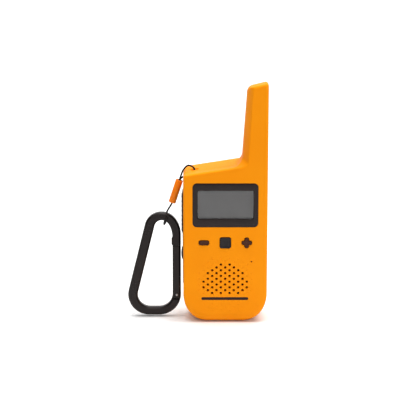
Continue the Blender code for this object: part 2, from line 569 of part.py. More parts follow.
ptt = prism_xz("ptt_button", ridged(PTT[0], PTT[1] - 0.3, 8, -29.8, -29.3, -28.4), PTT[2], PTT[3], BLACK, rough=0.55, origin=(-28.4, -3.5, 75.5), smooth=25)
cut(ptt, box("ptt_stem", (-29.0, -5.6, 73.0), (-25.9, -1.8, 78.0), BLACK), "UNION")
call = prism_xz("call_button", [(-28.4, CALL[0]), (-28.4, CALL[1]), (-29.3, CALL[1]), (-29.8, CALL[1] - 1.0), (-29.9, 46.6), (-29.8, CALL[0] + 1.0), (-29.3, CALL[0])], CALL[2], CALL[3], BLACK, rough=0.55, origin=(-28.4, -3.5, 46.6), smooth=25)
cut(call, box("call_stem", (-29.0, -5.2, 44.8), (-25.9, -2.2, 48.4), BLACK), "UNION")
box("ptt_switch", (-24.7, -6.2, 73.2), (-23.3, -1.2, 77.8), (0.5, 0.5, 0.5), rough=0.35, metal=0.8)
box("call_switch", (-24.7, -5.6, 44.6), (-23.3, -1.8, 48.6), (0.5, 0.5, 0.5), rough=0.35, metal=0.8)
for ob, z in ((board, 75.5), (board, 46.6)):
    cut(ob, box(f"switch_notch_{int(z)}", (-26.0, -7.0, z - 3.0), (-21.5, 0.0, z + 3.0), BLACK))
box("side_board", (-23.0, -7.0, 42.5), (-22.2, -4.9, 80.5), (0.02, 0.12, 0.05), rough=0.5)

# ------------------------------------------------------------------ port cover and the sockets behind it
cover = prism_xz("port_cover", [(27.25, pz0), (28.75, pz0), (28.75, pz1), (27.25, pz1)], py0, py1, YELLOW, rough=0.5, origin=(27.95, py1 + 0.65, (pz0 + pz1) / 2))
bevel(cover, 0.25)
cut(cover, turned("cover_barrel", (27.95, py1 + 0.65, pz0 + 0.4), (0, 0, 1), [(0, 0.62), (pz1 - pz0 - 0.8, 0.62)], 12, BLACK), "UNION")
cut(cover, box("cover_web", (27.5, py1 - 0.4, pz0 + 0.6), (28.4, py1 + 0.6, pz1 - 0.6), BLACK), "UNION")
ring = prism_yz("usb_connector", rounded(-3.25, 3.25, 76.6, 79.6, 0.9, 2), 21.4, 26.4, (0.6, 0.6, 0.58), rough=0.3, metal=1.0)
cut(ring, prism_yz("usb_mouth", rounded(-2.8, 2.8, 77.1, 79.1, 0.6, 2), 22.2, 28.0, BLACK))
jack = prism_yz("accessory_jack", circle(0.0, 84.4, 3.1, 16), 20.6, 26.4, BLACK, rough=0.4)
cut(jack, prism_yz("jack_mouth", circle(0.0, 84.4, 1.35, 12), 21.6, 28.0, BLACK))

# ------------------------------------------------------------------ battery bay: cells, contacts, door and its lock
cy = by + 0.4 + CELL_R
cz0 = 10.9
for k in (-1, 0, 1):
    sign = -1 if k == 0 else 1
    prof = [(0, 0), (0, CELL_R - 0.5), (0.5, CELL_R), (CELL_LEN - 1.4, CELL_R), (CELL_LEN - 0.9, CELL_R - 0.5), (CELL_LEN - 0.9, 1.9), (CELL_LEN, 1.9), (CELL_LEN, 0)]
    base = (k * CELL_PITCH, cy, cz0 if sign > 0 else cz0 + CELL_LEN)
    turned(f"battery_cell_{k + 2}", base, (0, 0, sign), prof, 16, (0.16, 0.42, 0.13), rough=0.35, metal=0.3)
plate = box("contact_low", (bx0 + 0.3, cy - 4.0, bz0 + 1.2), (bx1 - 0.3, cy + 4.0, bz0 + 1.55), (0.7, 0.7, 0.66), rough=0.3, metal=1.0)
box("contact_high", (bx0 + 0.3, cy - 4.0, bz1 - 1.3), (bx1 - 0.3, cy + 4.0, bz1 - 0.95), (0.7, 0.7, 0.66), rough=0.3, metal=1.0)
door = prism_xz("battery_door", rounded(dx0, dx1, dz0, dz1, 3.3), CASE_BACK - 1.6, CASE_BACK, YELLOW, rough=0.42, origin=(0, CASE_BACK - 0.6, dz1 - 0.5))
cut(door, prism_xz("lock_hole", circle(0, 13.5, 4.3, 20), CASE_BACK - 4, CASE_BACK + 3, BLACK))
lock = turned("door_lock", (0, CASE_BACK - 1.7, 13.5), (0, 1, 0), [(0, 0), (0, 4.0), (1.7, 4.0), (2.0, 3.6), (2.0, 0)], 20, BLACK, rough=0.5, origin=(0, CASE_BACK, 13.5))
cut(lock, box("coin_slot", (-3.4, CASE_BACK - 0.7, 13.0), (3.4, CASE_BACK + 2, 14.0), BLACK))

# ------------------------------------------------------------------ belt clip
py, pz = CLIP_PIN_AT
# the base is thicker below the pin, where its flat pad meets the belt and holds the sunk screw heads
base = prism_yz("clip_base", [(CASE_BACK + 0.3, 68.5), (CASE_BACK + 2.0, 68.5), (CASE_BACK + 2.0, 80.5), (CASE_BACK + 1.4, 80.5), (CASE_BACK + 1.4, 92.0), (CASE_BACK + 0.3, 92.0)], -9.0, 9.0, BLACK, rough=0.5)
for sx_, tag in ((-1, "left"), (1, "right")):
    cut(base, prism_yz("ear_" + tag, [(CASE_BACK + 1.0, pz - 4.2), (py + 2.2, pz - 2.2), (py + 2.2, pz + 2.2), (CASE_BACK + 1.0, pz + 5.0)], sx_ * 7.0, sx_ * 8.7, BLACK), "UNION")
cut(base, prism_yz("ear_drill", circle(py, pz, 1.2, 14), -12, 12, BLACK))
cut(base, several("base_drills", [rod_shape(0, z, 1.3, 10, 24, 10) for z in CLIP_SCREW_Z]))
cut(base, several("base_sinks", [rod_shape(0, z, 2.2, CASE_BACK + 1.0, 24, 14) for z in CLIP_SCREW_Z]))
clip = prism_yz("belt_clip", [(CLIP_IN, 95.0), (CLIP_IN, 63.6), (17.6, 63.0), (15.7, 64.6), (15.7, 62.4), (17.6, 60.6), (CLIP_OUT - 0.8, 61.2), (CLIP_OUT, 63.0), (CLIP_OUT, 95.0)], -6.6, 6.6, BLACK, rough=0.5, origin=(0, py, pz), smooth=25)
cut(clip, prism_yz("clip_lug", [(py - 2.2, pz - 1.5), (CLIP_IN + 0.6, pz - 2.4), (CLIP_IN + 0.6, pz + 2.4), (py - 2.2, pz + 1.5)], -6.2, 6.2, BLACK), "UNION")
cut(clip, prism_yz("clip_drill", circle(py, pz, 1.2, 14), -9, 9, BLACK))
cut(clip, box("spring_slot", (-2.6, 15.0, pz - 3.2), (2.6, CLIP_OUT - 0.6, pz + 3.2), BLACK))
prism_yz("clip_pin", circle(py, pz, 0.95, 14), -9.2, 9.2, (0.6, 0.6, 0.6), rough=0.25, metal=1.0)
spring_pts = [(-1.7 + 3.4 * k / 24.0, py + 1.45 * math.cos(2 * math.pi * k / 8.0), pz + 1.45 * math.sin(2 * math.pi * k / 8.0)) for k in range(25)]
tube("clip_spring", spring_pts, 0.22, (0.55, 0.55, 0.55), rough=0.3, metal=1.0, res=0)
for i, z in enumerate(CLIP_SCREW_Z):
    turned(f"clip_screw_{i + 1}", (0, 10.5, z), (0, 1, 0), [(0, 0), (0, 0.95), (CASE_BACK + 1.15 - 10.5, 0.95), (CASE_BACK + 1.15 - 10.5, 1.85), (CASE_BACK + 1.75 - 10.5, 1.7), (CASE_BACK + 1.75 - 10.5, 0)], 12, (0.5, 0.5, 0.5), rough=0.3, metal=1.0)
for i, (x, z) in enumerate(SCREWS):
    turned(f"housing_screw_{i + 1}", (x, -11.4, z), (0, 1, 0), [(0, 0), (0, 0.9), (24.1, 0.9), (24.1, 1.8), (25.3, 1.8), (25.3, 0)], 12, (0.45, 0.45, 0.45), rough=0.3, metal=1.0)

# ------------------------------------------------------------------ lanyard: loop through the eyelet, bead and cord
t = (Vector((BEAD_LOW[0], 0, BEAD_LOW[1])) - Vector((BEAD_TOP[0], 0, BEAD_TOP[1])))
L = t.length
t.normalize()
top = Vector((BEAD_TOP[0], 0, BEAD_TOP[1]))
turned("cord_bead", top, t, [(0.0, BEAD_BORE + 0.25), (0.0, BEAD_R - 0.3), (0.3, BEAD_R), (L - 0.3, BEAD_R), (L, BEAD_R - 0.3), (L, BEAD_BORE + 0.25), (L, BEAD_BORE), (0.0, BEAD_BORE)][:6] + [(L - 0.2, BEAD_BORE), (0.2, BEAD_BORE)], 16, (0.62, 0.14, 0.012), closed=True, rough=0.55)
ends = 0.75
loop_pts = [top + t * 2.2 + Vector((0, -ends, 0)), top + t * 0.4 + Vector((0, -ends, 0)), (-30.0, -0.8, 100.4), (-28.4, -0.8, 104.2), (-25.6, -0.6, 107.1), (-22.6, -0.3, 106.5), (-20.9, 0.0, 104.6), (-21.5, 0.1, 102.6), (-24.4, 0.2, 101.0), (-27.6, 0.4, 99.6), (-29.6, 0.8, 98.4), top + t * 0.4 + Vector((0, ends, 0)), top + t * 2.2 + Vector((0, ends, 0))]
tube("lanyard_loop", smooth_path(loop_pts, 1.25), CORD_R, BLACK, res=2)
hx, hz = HOOK_AT
wrap = 4.8
lead = top + t * 2.9
cord_pts = [lead, top + t * 8.0, top + t * (L - 1.0), top + t * (L + 1.3)]
n_dir = Vector((-t.z, 0, t.x))
mid = Vector((hx, 0, hz))
away = t.normalized()
for deg in (38, 70, 105, 140, 175, 210, 245, 280, 305):
    g = math.radians(deg)
    # round the stock in the plane of the cord and the depth axis
    cord_pts.append(mid + Vector((0, 1, 0)) * (wrap * math.sin(g)) * 1.0 - away * (wrap * math.cos(g) - CORD_SLACK * max(0.0, -math.cos(g))) + n_dir * (0.5 * (deg - 171.0) / 134.0))
tube("lanyard_cord", smooth_path(cord_pts, 1.4), CORD_R, BLACK, res=2)


# ------------------------------------------------------------------ carabiner: body, gate and pin
def hook_outline(left, right, low, high, radii, n):
    """The closed D shape, its sides moved in by the given amounts."""
    def left_x(z):
        return HOOK_LEFT + (z - 39.8) * HOOK_LEAN + left / math.cos(math.atan(HOOK_LEAN))
    zb, zt, xr = HOOK_BOTTOM + low, HOOK_TOP - high, HOOK_RIGHT - right
    quad = [(left_x(zb), zb), (xr, zb), (xr, zt), (left_x(zt), zt)]
    pts = []
    for k in range(4):
        if k == 2:
            a, b = radii[k]
            turn = [math.radians(90.0 * i / (n + 2)) for i in range(n + 3)]
            pts.append([(xr - a + a * math.cos(g), zt - b + b * math.sin(g)) for g in turn])
            continue
        pts.append([tuple(v) for v in corner(quad[k - 1], quad[k], quad[(k + 1) % 4], radii[k], n)])
    return pts


outer = hook_outline(0, 0, 0, 0, (14.5, 15.0, (12.8, 16.0), 11.6), 7)
inner = hook_outline(HOOK_SPINE, HOOK_GATE, HOOK_ENDS, HOOK_ENDS, (8.8, 9.4, (7.0, 12.2), 5.0), 7)
nose_z, foot_z = 51.3, 18.6
o_line = outer[2] + outer[3] + outer[0] + outer[1]
i_line = inner[2] + inner[3] + inner[0] + inner[1]
poly = [(HOOK_RIGHT, nose_z)] + o_line + [(HOOK_RIGHT, foot_z), (HOOK_RIGHT - HOOK_GATE, foot_z)] + i_line[::-1] + [(HOOK_RIGHT - HOOK_GATE, nose_z)]
hook = prism_xz("carabiner_body", poly, -HOOK_D / 2, HOOK_D / 2, BLACK, rough=0.4, metal=0.2, smooth=20)
bevel(hook, 0.85, 1, 50)
# the nose's knuckle stands in a little on the inner side
cut(hook, box("nose_knuckle", (HOOK_RIGHT - HOOK_GATE - 0.6, -HOOK_D / 2 + 0.85, nose_z), (HOOK_RIGHT - HOOK_GATE + 1.5, HOOK_D / 2 - 0.85, nose_z + 4.6), BLACK), "UNION")
gx, gz = GATE_PIN_AT
# the body's end is cut down to a tongue that the gate's fork straddles
cut(hook, several("tongue_cuts", [
    ([(a, y, b) for y in (0.95, 6.0) for a, b in ((gx - 6, gz - 3.4), (gx + 6, gz - 3.4), (gx + 6, 25.0), (gx - 6, 25.0))], loft_faces(4, 2)),
    ([(a, y, b) for y in (-6.0, -0.95) for a, b in ((gx - 6, gz - 3.4), (gx + 6, gz - 3.4), (gx + 6, 25.0), (gx - 6, 25.0))], loft_faces(4, 2))]))
cut(hook, prism_xz("hook_drill", circle(gx, gz, 0.95, 12), -6, 6, BLACK))
g0, g1 = HOOK_RIGHT - HOOK_GATE + 0.05, HOOK_RIGHT - 0.05
gate_poly = [(g1, nose_z - 0.35), (g0, nose_z - 0.35), (g0, gz)]
gate_poly += [(gx + 2.85 * math.cos(math.radians(a)), gz + 2.85 * math.sin(math.radians(a))) for a in range(195, 350, 15)] + [(g1, gz)]
gate = prism_xz("carabiner_gate", gate_poly, -HOOK_D / 2 + 0.05, HOOK_D / 2 - 0.05, BLACK, rough=0.4, metal=0.2, origin=(gx, 0, gz), smooth=20)
bevel(gate, 0.8, 1, 50)
cut(gate, prism_xz("gate_slot", [(gx - 5, gz - 6), (gx + 5, gz - 6), (gx + 5, foot_z + 1.6), (gx - 5, foot_z + 1.6)], -1.3, 1.3, BLACK))
cut(gate, prism_xz("gate_drill", circle(gx, gz, 0.95, 12), -6, 6, BLACK))
prism_xz("gate_pin", circle(gx, gz, 0.7, 12), -2.3, 2.3, (0.5, 0.5, 0.5), rough=0.3, metal=1.0)

# the lanyard's and the carabiner's pieces have their origins on their joints' axes
for name, (ox, oz) in (("lanyard_loop", LANYARD_PIVOT), ("lanyard_cord", LANYARD_PIVOT), ("cord_bead", LANYARD_PIVOT), ("carabiner_body", HOOK_PIVOT), ("gate_pin", HOOK_PIVOT)):
    at = Vector((ox, 0.0, oz)) / 1000.0
    bpy.data.objects[name].data.transform(Matrix.Translation(-at))
    bpy.data.objects[name].location += at

for ob in bpy.data.objects:
    if ob.parent is None:
        ob.location += Vector(ORIGIN_SHIFT)
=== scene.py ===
import math

import bmesh
import bpy
from mathutils import Matrix, Vector


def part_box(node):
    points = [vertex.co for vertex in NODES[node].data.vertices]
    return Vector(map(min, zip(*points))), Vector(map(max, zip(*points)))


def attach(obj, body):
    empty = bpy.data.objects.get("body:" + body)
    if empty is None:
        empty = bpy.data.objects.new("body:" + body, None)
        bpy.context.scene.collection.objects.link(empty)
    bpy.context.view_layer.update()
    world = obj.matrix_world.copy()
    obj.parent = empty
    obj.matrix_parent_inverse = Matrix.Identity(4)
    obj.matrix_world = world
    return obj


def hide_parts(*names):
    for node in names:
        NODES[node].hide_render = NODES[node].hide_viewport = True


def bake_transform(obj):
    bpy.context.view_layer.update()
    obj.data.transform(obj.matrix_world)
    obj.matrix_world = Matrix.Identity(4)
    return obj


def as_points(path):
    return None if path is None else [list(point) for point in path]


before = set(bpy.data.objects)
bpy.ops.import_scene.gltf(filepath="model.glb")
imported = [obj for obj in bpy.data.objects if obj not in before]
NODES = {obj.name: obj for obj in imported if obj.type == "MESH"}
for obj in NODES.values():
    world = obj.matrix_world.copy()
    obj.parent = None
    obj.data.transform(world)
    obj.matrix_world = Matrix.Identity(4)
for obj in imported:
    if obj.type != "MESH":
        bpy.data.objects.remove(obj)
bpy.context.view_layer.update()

# ------------------------------------------------------------------ the case's own frame, mm
# The shapes below are worked out in millimetres in the case's frame; to_row() takes them to the row frame.
mid = (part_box("front_housing")[0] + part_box("front_housing")[1]) / 2
SHIFT = Vector((mid.x * 1000.0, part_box("battery_door")[1].y * 1000.0 - 15.0, 0.0))


def to_row(p):
    return (Vector(p) + SHIFT) / 1000.0


CASE_W, CASE_FRONT, CASE_BACK, WALL, PARTING, GAP = 57.0, -15.0, 15.0, 2.0, -7.0, 0.3
BASE_A, BASE_B, BASE_N = 16.7, 21.0, 2.1
SHOULDER_Z, SHOULDER_SLOPE = 103.5, 0.158
TIP_Z = 166.0
ANT_FOOT, ANT_HEAD = (11.8, 121.9), (14.1, 158.8)
ANT_FOOT_F, ANT_HEAD_F = (15.65, 114.2), (18.35, 159.9)
ANT_BACK_TIP, ANT_BACK_BASE = -4.0, 8.0
WINDOW = (-22.1, 22.0, 67.8, 98.2)
GLASS = (-18.75, 18.95, 73.6, 93.05)
KEY_Z, KEY_PITCH = 56.8, 14.5
MIC_AT = (17.8, 43.45)
GRILLE_PITCH_X, GRILLE_PITCH_Z, GRILLE_R = 2.9, 4.05, 0.82
GRILLE_COUNTS = (2, 4, 5, 5, 6, 5, 6, 5, 5, 4, 2)
GRILLE_LOW = 21.1
STRIP = (26.1, 90.4, -11.0, 4.0)
STRIP_X = -29.2
PTT = (61.8, 89.6, -8.9, 1.9)
CALL = (42.9, 50.3, -7.4, 0.4)
PORT = (74.5, 89.5, -5.0, 5.0)
BAY = (-16.6, 16.6, 8.5, 57.3, 2.2)
DOOR = (-17.5, 17.5, 8.5, 57.5)
CLIP_PIN_AT = (20.6, 85.0)
CLIP_IN, CLIP_OUT = 21.3, 23.1
CLIP_SCREW_Z = (71.5, 77.5)
CORD_SLACK = 0.7
SCREWS = ((-10.0, 100.7), (19.6, 103.6), (-21.3, 28.0), (21.3, 28.0))
EYE_TOP, EYE_SIDE, EYE_R = (-21.2, 102.4), (-30.0, 98.5), 1.75
BEAD_TOP, BEAD_LOW, BEAD_R, BEAD_BORE = (-31.0, 97.0), (-36.2, 81.2), 2.5, 1.6
CORD_R = 0.62
HOOK_AT = (-40.0, 71.0)
HOOK_D = 5.0
HOOK_TOP, HOOK_BOTTOM, HOOK_RIGHT = 74.5, 1.1, -30.25
HOOK_LEAN, HOOK_LEFT = 0.2463, -61.2
HOOK_SPINE, HOOK_GATE, HOOK_ENDS = 6.65, 5.8, 5.6
GATE_PIN_AT = (-33.15, 15.6)


# ------------------------------------------------------------------ camera, light and floor
def vec_look(loc, target):
    return (Vector(target) - Vector(loc)).to_track_quat("-Z", "Y")


elev, dist = math.radians(15.0), 1.150
aim = Vector((-17.13 + SHIFT.x, SHIFT.y, 82.83)) / 1000.0
look = Vector((0.0, math.cos(elev), -math.sin(elev)))
cam_data = bpy.data.cameras.new("camera")
cam_data.sensor_width = 36.0
cam_data.lens = 1688.7 / 400.0 * 36.0
cam_data.clip_start, cam_data.clip_end = 0.05, 50.0
camera = bpy.data.objects.new("camera", cam_data)
bpy.context.scene.collection.objects.link(camera)
camera.location = aim - look * dist
camera.rotation_mode = "QUATERNION"
camera.rotation_quaternion = vec_look(camera.location, aim)
bpy.context.scene.camera = camera

bpy.context.scene.view_settings.view_transform = "Standard"
world = bpy.data.worlds.new("world")
bpy.context.scene.world = world
world.use_nodes = True
world.node_tree.nodes["Background"].inputs["Color"].default_value = (1.0, 1.0, 1.0, 1.0)
world.node_tree.nodes["Background"].inputs["Strength"].default_value = 0.18


def area(name, loc, target, size, energy, size_y=None):
    d = bpy.data.lights.new(name, "AREA")
    d.shape = "RECTANGLE"
    d.size, d.size_y = size, size_y or size
    d.energy = energy
    o = bpy.data.objects.new(name, d)
    bpy.context.scene.collection.objects.link(o)
    o.location = loc
    o.rotation_mode = "QUATERNION"
    o.rotation_quaternion = vec_look(loc, target)
    return o


area("top_light", (0.10, 0.05, 1.15), (0, 0, 0.08), 1.0, 12.5)
area("front_light", (0.75, -1.22, 0.75), (0, 0, 0.08), 0.9, 7.4)
area("backdrop_light", (0.0, 0.2, 2.2), (0.0, 2.4, 1.2), 2.6, 60.0)


# ------------------------------------------------------------------ materials
def new_mat(name):
    m = bpy.data.materials.new(name)
    m.use_nodes = True
    nt = m.node_tree
    return m, nt, nt.nodes["Principled BSDF"]


def node(nt, kind, **inputs):
    n = nt.nodes.new(kind)
    for k, v in inputs.items():
        key = k.replace("_", " ")
        if key in n.inputs:
            n.inputs[key].default_value = v
        else:
            setattr(n, k, v)
    return n


def coords(nt, scale=(1, 1, 1)):
    tc = nt.nodes.new("ShaderNodeTexCoord")
    mp = nt.nodes.new("ShaderNodeMapping")
    mp.inputs["Scale"].default_value = scale
    nt.links.new(tc.outputs["Object"], mp.inputs["Vector"])
    return mp.outputs["Vector"]


def mixed(nt, fac, a, b):
    """A colour between a and b."""
    n = nt.nodes.new("ShaderNodeMix")
    n.data_type = "RGBA"
    nt.links.new(fac, n.inputs["Factor"])
    for sock, c in ((n.inputs[6], a), (n.inputs[7], b)):
        if isinstance(c, bpy.types.NodeSocket):
            nt.links.new(c, sock)
        else:
            sock.default_value = (*c, 1.0)
    return n.outputs[2]


def ranged(nt, value, lo, hi, out_lo, out_hi):
    n = nt.nodes.new("ShaderNodeMapRange")
    nt.links.new(value, n.inputs["Value"])
    for k, v in zip(("From Min", "From Max", "To Min", "To Max"), (lo, hi, out_lo, out_hi)):
        n.inputs[k].default_value = v
    return n.outputs["Result"]


def noise(nt, vec, scale, detail=3.0, rough=0.5):
    n = nt.nodes.new("ShaderNodeTexNoise")
    nt.links.new(vec, n.inputs["Vector"])
    n.inputs["Scale"].default_value = scale
    n.inputs["Detail"].default_value = detail
    n.inputs["Roughness"].default_value = rough
    return n.outputs["Fac"]


def bump(nt, height, distance, strength=1.0, normal=None):
    n = nt.nodes.new("ShaderNodeBump")
    n.inputs["Distance"].default_value = distance
    n.inputs["Strength"].default_value = strength
    nt.links.new(height, n.inputs["Height"])
    if normal is not None:
        nt.links.new(normal, n.inputs["Normal"])
    return n.outputs["Normal"]


def moulded(name, colour, alt, rough=(0.36, 0.46), grain=4200.0, depth=0.000012, patch=45.0, spec=0.5, coat=0.0, coat_rough=0.3, sss=0.0, flow=0.0):
    """Moulded plastic or rubber: a fine spark-eroded grain, and soft patches in colour and gloss."""
    m, nt, p = new_mat(name)
    vec = coords(nt)
    broad = noise(nt, vec, patch, 2.0, 0.5)
    fine = noise(nt, vec, grain, 2.0, 0.6)
    mid_ = noise(nt, vec, grain * 0.22, 3.0, 0.55)
    col = mixed(nt, ranged(nt, broad, 0.35, 0.65, 0.0, 1.0), colour, alt)
    nt.links.new(col, p.inputs["Base Color"])
    nt.links.new(ranged(nt, mid_, 0.3, 0.7, rough[0], rough[1]), p.inputs["Roughness"])
    n1 = bump(nt, fine, depth, 0.8)
    n2 = bump(nt, mid_, depth * 2.2, 0.5, n1)
    nt.links.new(n2, p.inputs["Normal"])
    p.inputs["Specular IOR Level"].default_value = spec
    if coat:
        p.inputs["Coat Weight"].default_value = coat
        p.inputs["Coat Roughness"].default_value = coat_rough
    if sss:
        p.inputs["Subsurface Weight"].default_value = sss
        p.inputs["Subsurface Radius"].default_value = (0.002, 0.0008, 0.0003)
        p.inputs["Subsurface Scale"].default_value = 0.4
    return m


def metal(name, colour, alt, rough=(0.22, 0.38), brush=(400, 400, 12000), depth=0.000004):
    m, nt, p = new_mat(name)
    vec = coords(nt, brush)
    grain = noise(nt, vec, 1.0, 3.0, 0.6)
    broad = noise(nt, coords(nt), 160.0, 3.0, 0.5)
    nt.links.new(mixed(nt, broad, colour, alt), p.inputs["Base Color"])
    p.inputs["Metallic"].default_value = 1.0
    nt.links.new(ranged(nt, grain, 0.3, 0.7, rough[0], rough[1]), p.inputs["Roughness"])
    nt.links.new(bump(nt, grain, depth, 0.6), p.inputs["Normal"])
    return m


YELLOW, YELLOW_ALT = (0.89, 0.282, 0.002), (0.875, 0.268, 0.0016)
M = {
    "case": moulded("case_yellow", YELLOW, YELLOW_ALT, (0.40, 0.50), spec=0.06),
    "case_rear": moulded("case_yellow_rear", YELLOW, YELLOW_ALT, (0.44, 0.54), spec=0.06, depth=0.00002),
    "rubber_yellow": moulded("rubber_yellow", (0.86, 0.235, 0.004), (0.80, 0.21, 0.004), (0.55, 0.68), spec=0.3),
    "black": moulded("black_plastic", (0.010, 0.0065, 0.0055), (0.015, 0.010, 0.0085), (0.42, 0.55), depth=0.00002, spec=0.3),
    "ptt": moulded("ptt_rubber", (0.011, 0.008, 0.007), (0.016, 0.012, 0.011), (0.5, 0.62), depth=0.00002, spec=0.32),
    "key": moulded("key_rubber", (0.050, 0.013, 0.004), (0.064, 0.017, 0.005), (0.42, 0.55), spec=0.2, grain=6000.0, depth=0.000008),
    "menu": moulded("menu_rubber", (0.014, 0.011, 0.012), (0.019, 0.015, 0.017), (0.40, 0.52), spec=0.22, grain=6000.0, depth=0.000008),
    "frame": moulded("display_black", (0.016, 0.008, 0.007), (0.012, 0.006, 0.005), (0.14, 0.22), grain=3000.0, depth=0.000001, spec=0.25),
    "white": moulded("white_plastic", (0.62, 0.63, 0.61), (0.56, 0.57, 0.55), (0.45, 0.6)),
    "rubber": moulded("rubber_black", (0.02, 0.02, 0.02), (0.03, 0.03, 0.03), (0.6, 0.75)),
    "bead": moulded("bead_orange", (0.84, 0.180, 0.003), (0.90, 0.215, 0.004), (0.30, 0.42), grain=2500.0, depth=0.000008, spec=0.18, sss=0.15),
    "ink": moulded("printed_ink", (0.014, 0.007, 0.004), (0.020, 0.010, 0.006), (0.35, 0.5), grain=5000.0, depth=0.000004, spec=0.2),
    "tin": metal("tin_plate", (0.62, 0.62, 0.60), (0.50, 0.50, 0.49)),
    "steel": metal("steel_wire", (0.50, 0.50, 0.50), (0.40, 0.40, 0.41), brush=(6000, 6000, 900)),
    "gold": metal("contact_gold", (0.80, 0.55, 0.20), (0.70, 0.45, 0.15)),
    "copper": metal("copper_wire", (0.80, 0.36, 0.18), (0.65, 0.28, 0.13), brush=(3000, 3000, 3000)),
}


def anodised():
    """Black anodised aluminium stock: dark dye, a satin blasted grain, and bright rubbed spots."""
    m, nt, p = new_mat("anodised_black")
    vec = coords(nt)
    broad = noise(nt, vec, 60.0, 4.0, 0.6)
    fine = noise(nt, vec, 5200.0, 2.0, 0.6)
    scuff = noise(nt, coords(nt, (900, 900, 2600)), 1.0, 4.0, 0.7)
    rub = ranged(nt, scuff, 0.68, 0.80, 0.0, 0.35)
    col = mixed(nt, broad, (0.012, 0.0085, 0.008), (0.018, 0.013, 0.012))
    nt.links.new(mixed(nt, rub, col, (0.11, 0.10, 0.10)), p.inputs["Base Color"])
    p.inputs["Metallic"].default_value = 0.35
    p.inputs["Specular IOR Level"].default_value = 0.25
    nt.links.new(ranged(nt, broad, 0.3, 0.7, 0.24, 0.34), p.inputs["Roughness"])
    nt.links.new(bump(nt, fine, 0.000012, 0.8), p.inputs["Normal"])
    return m


def board_green():
    """Solder mask over copper traces, with pads showing through."""
    m, nt, p = new_mat("board_green")
    vec = coords(nt)
    br = node(nt, "ShaderNodeTexBrick")
    mp = nt.nodes.new("ShaderNodeMapping")
    mp.inputs["Rotation"].default_value = (math.radians(90), 0, 0)
    nt.links.new(vec, mp.inputs["Vector"])
    nt.links.new(mp.outputs["Vector"], br.inputs["Vector"])
    br.inputs["Scale"].default_value = 420.0
    br.inputs["Mortar Size"].default_value = 0.03
    br.inputs["Color1"].default_value = (0.010, 0.085, 0.035, 1)
    br.inputs["Color2"].default_value = (0.014, 0.105, 0.045, 1)
    br.inputs["Mortar"].default_value = (0.03, 0.20, 0.08, 1)
    vo = node(nt, "ShaderNodeTexVoronoi")
    nt.links.new(vec, vo.inputs["Vector"])
    vo.inputs["Scale"].default_value = 520.0
    pads = ranged(nt, vo.outputs["Distance"], 0.13, 0.17, 1.0, 0.0)
    nt.links.new(mixed(nt, pads, br.outputs["Color"], (0.62, 0.60, 0.52)), p.inputs["Base Color"])
    nt.links.new(ranged(nt, pads, 0.0, 1.0, 0.28, 0.4), p.inputs["Roughness"])
    nt.links.new(bump(nt, br.outputs["Fac"], 0.00004, 0.5), p.inputs["Normal"])
    return m


def cell_label():
    """A shrink sleeve with plain bands round the cell."""
    m, nt, p = new_mat("cell_sleeve")
    tc = nt.nodes.new("ShaderNodeTexCoord")
    sep = nt.nodes.new("ShaderNodeSeparateXYZ")
    nt.links.new(tc.outputs["Object"], sep.inputs["Vector"])
    z = sep.outputs["Z"]
    ramp = nt.nodes.new("ShaderNodeValToRGB")
    nt.links.new(ranged(nt, z, 0.0109, 0.0554, 0.0, 1.0), ramp.inputs["Fac"])
    e = ramp.color_ramp.elements
    ramp.color_ramp.interpolation = "CONSTANT"
    e[0].position, e[0].color = 0.0, (0.60, 0.60, 0.58, 1)
    e[1].position, e[1].color = 0.97, (0.60, 0.60, 0.58, 1)
    for pos, c in ((0.03, (0.03, 0.20, 0.06, 1)), (0.26, (0.62, 0.62, 0.58, 1)), (0.30, (0.05, 0.32, 0.09, 1)), (0.80, (0.62, 0.62, 0.58, 1)), (0.84, (0.03, 0.20, 0.06, 1))):
        k = e.new(pos)
        k.color = c
    nt.links.new(ramp.outputs["Color"], p.inputs["Base Color"])
    fine = noise(nt, tc.outputs["Object"], 900.0, 3.0)
    nt.links.new(ranged(nt, fine, 0.3, 0.7, 0.22, 0.34), p.inputs["Roughness"])
    nt.links.new(bump(nt, fine, 0.00001, 0.5), p.inputs["Normal"])
    return m


def lcd():
    """A switched-off reflective display: grey-green polariser with a faint dot lattice, a cloudy sheen painted into its
    colour as lighter patches, and a matching cloudy roughness.
    """
    m, nt, p = new_mat("lcd_glass")
    vec = coords(nt)
    ch = node(nt, "ShaderNodeTexChecker")
    mp = nt.nodes.new("ShaderNodeMapping")
    mp.inputs["Rotation"].default_value = (math.radians(90), 0, 0)
    nt.links.new(vec, mp.inputs["Vector"])
    nt.links.new(mp.outputs["Vector"], ch.inputs["Vector"])
    ch.inputs["Scale"].default_value = 3300.0
    ch.inputs["Color1"].default_value = (0.048, 0.044, 0.043, 1)
    ch.inputs["Color2"].default_value = (0.052, 0.048, 0.047, 1)
    sheen_and_gloss_cloud = noise(nt, vec, 38.0, 2.0, 0.4)
    # painted sheen: lighter cloudy patches painted into the colour; the same cloud also varies the roughness
    nt.links.new(mixed(nt, ranged(nt, sheen_and_gloss_cloud, 0.35, 0.65, 0.0, 0.5), ch.outputs["Color"], (0.054, 0.049, 0.050)), p.inputs["Base Color"])
    nt.links.new(ranged(nt, sheen_and_gloss_cloud, 0.3, 0.7, 0.30, 0.42), p.inputs["Roughness"])
    return m


def lens_clear():
    m, nt, p = new_mat("lens_clear")
    p.inputs["Base Color"].default_value = (0.97, 0.97, 0.97, 1)
    p.inputs["Transmission Weight"].default_value = 1.0
    p.inputs["IOR"].default_value = 1.49
    fine = noise(nt, coords(nt), 300.0, 2.0)
    nt.links.new(ranged(nt, fine, 0.3, 0.7, 0.02, 0.05), p.inputs["Roughness"])
    return m


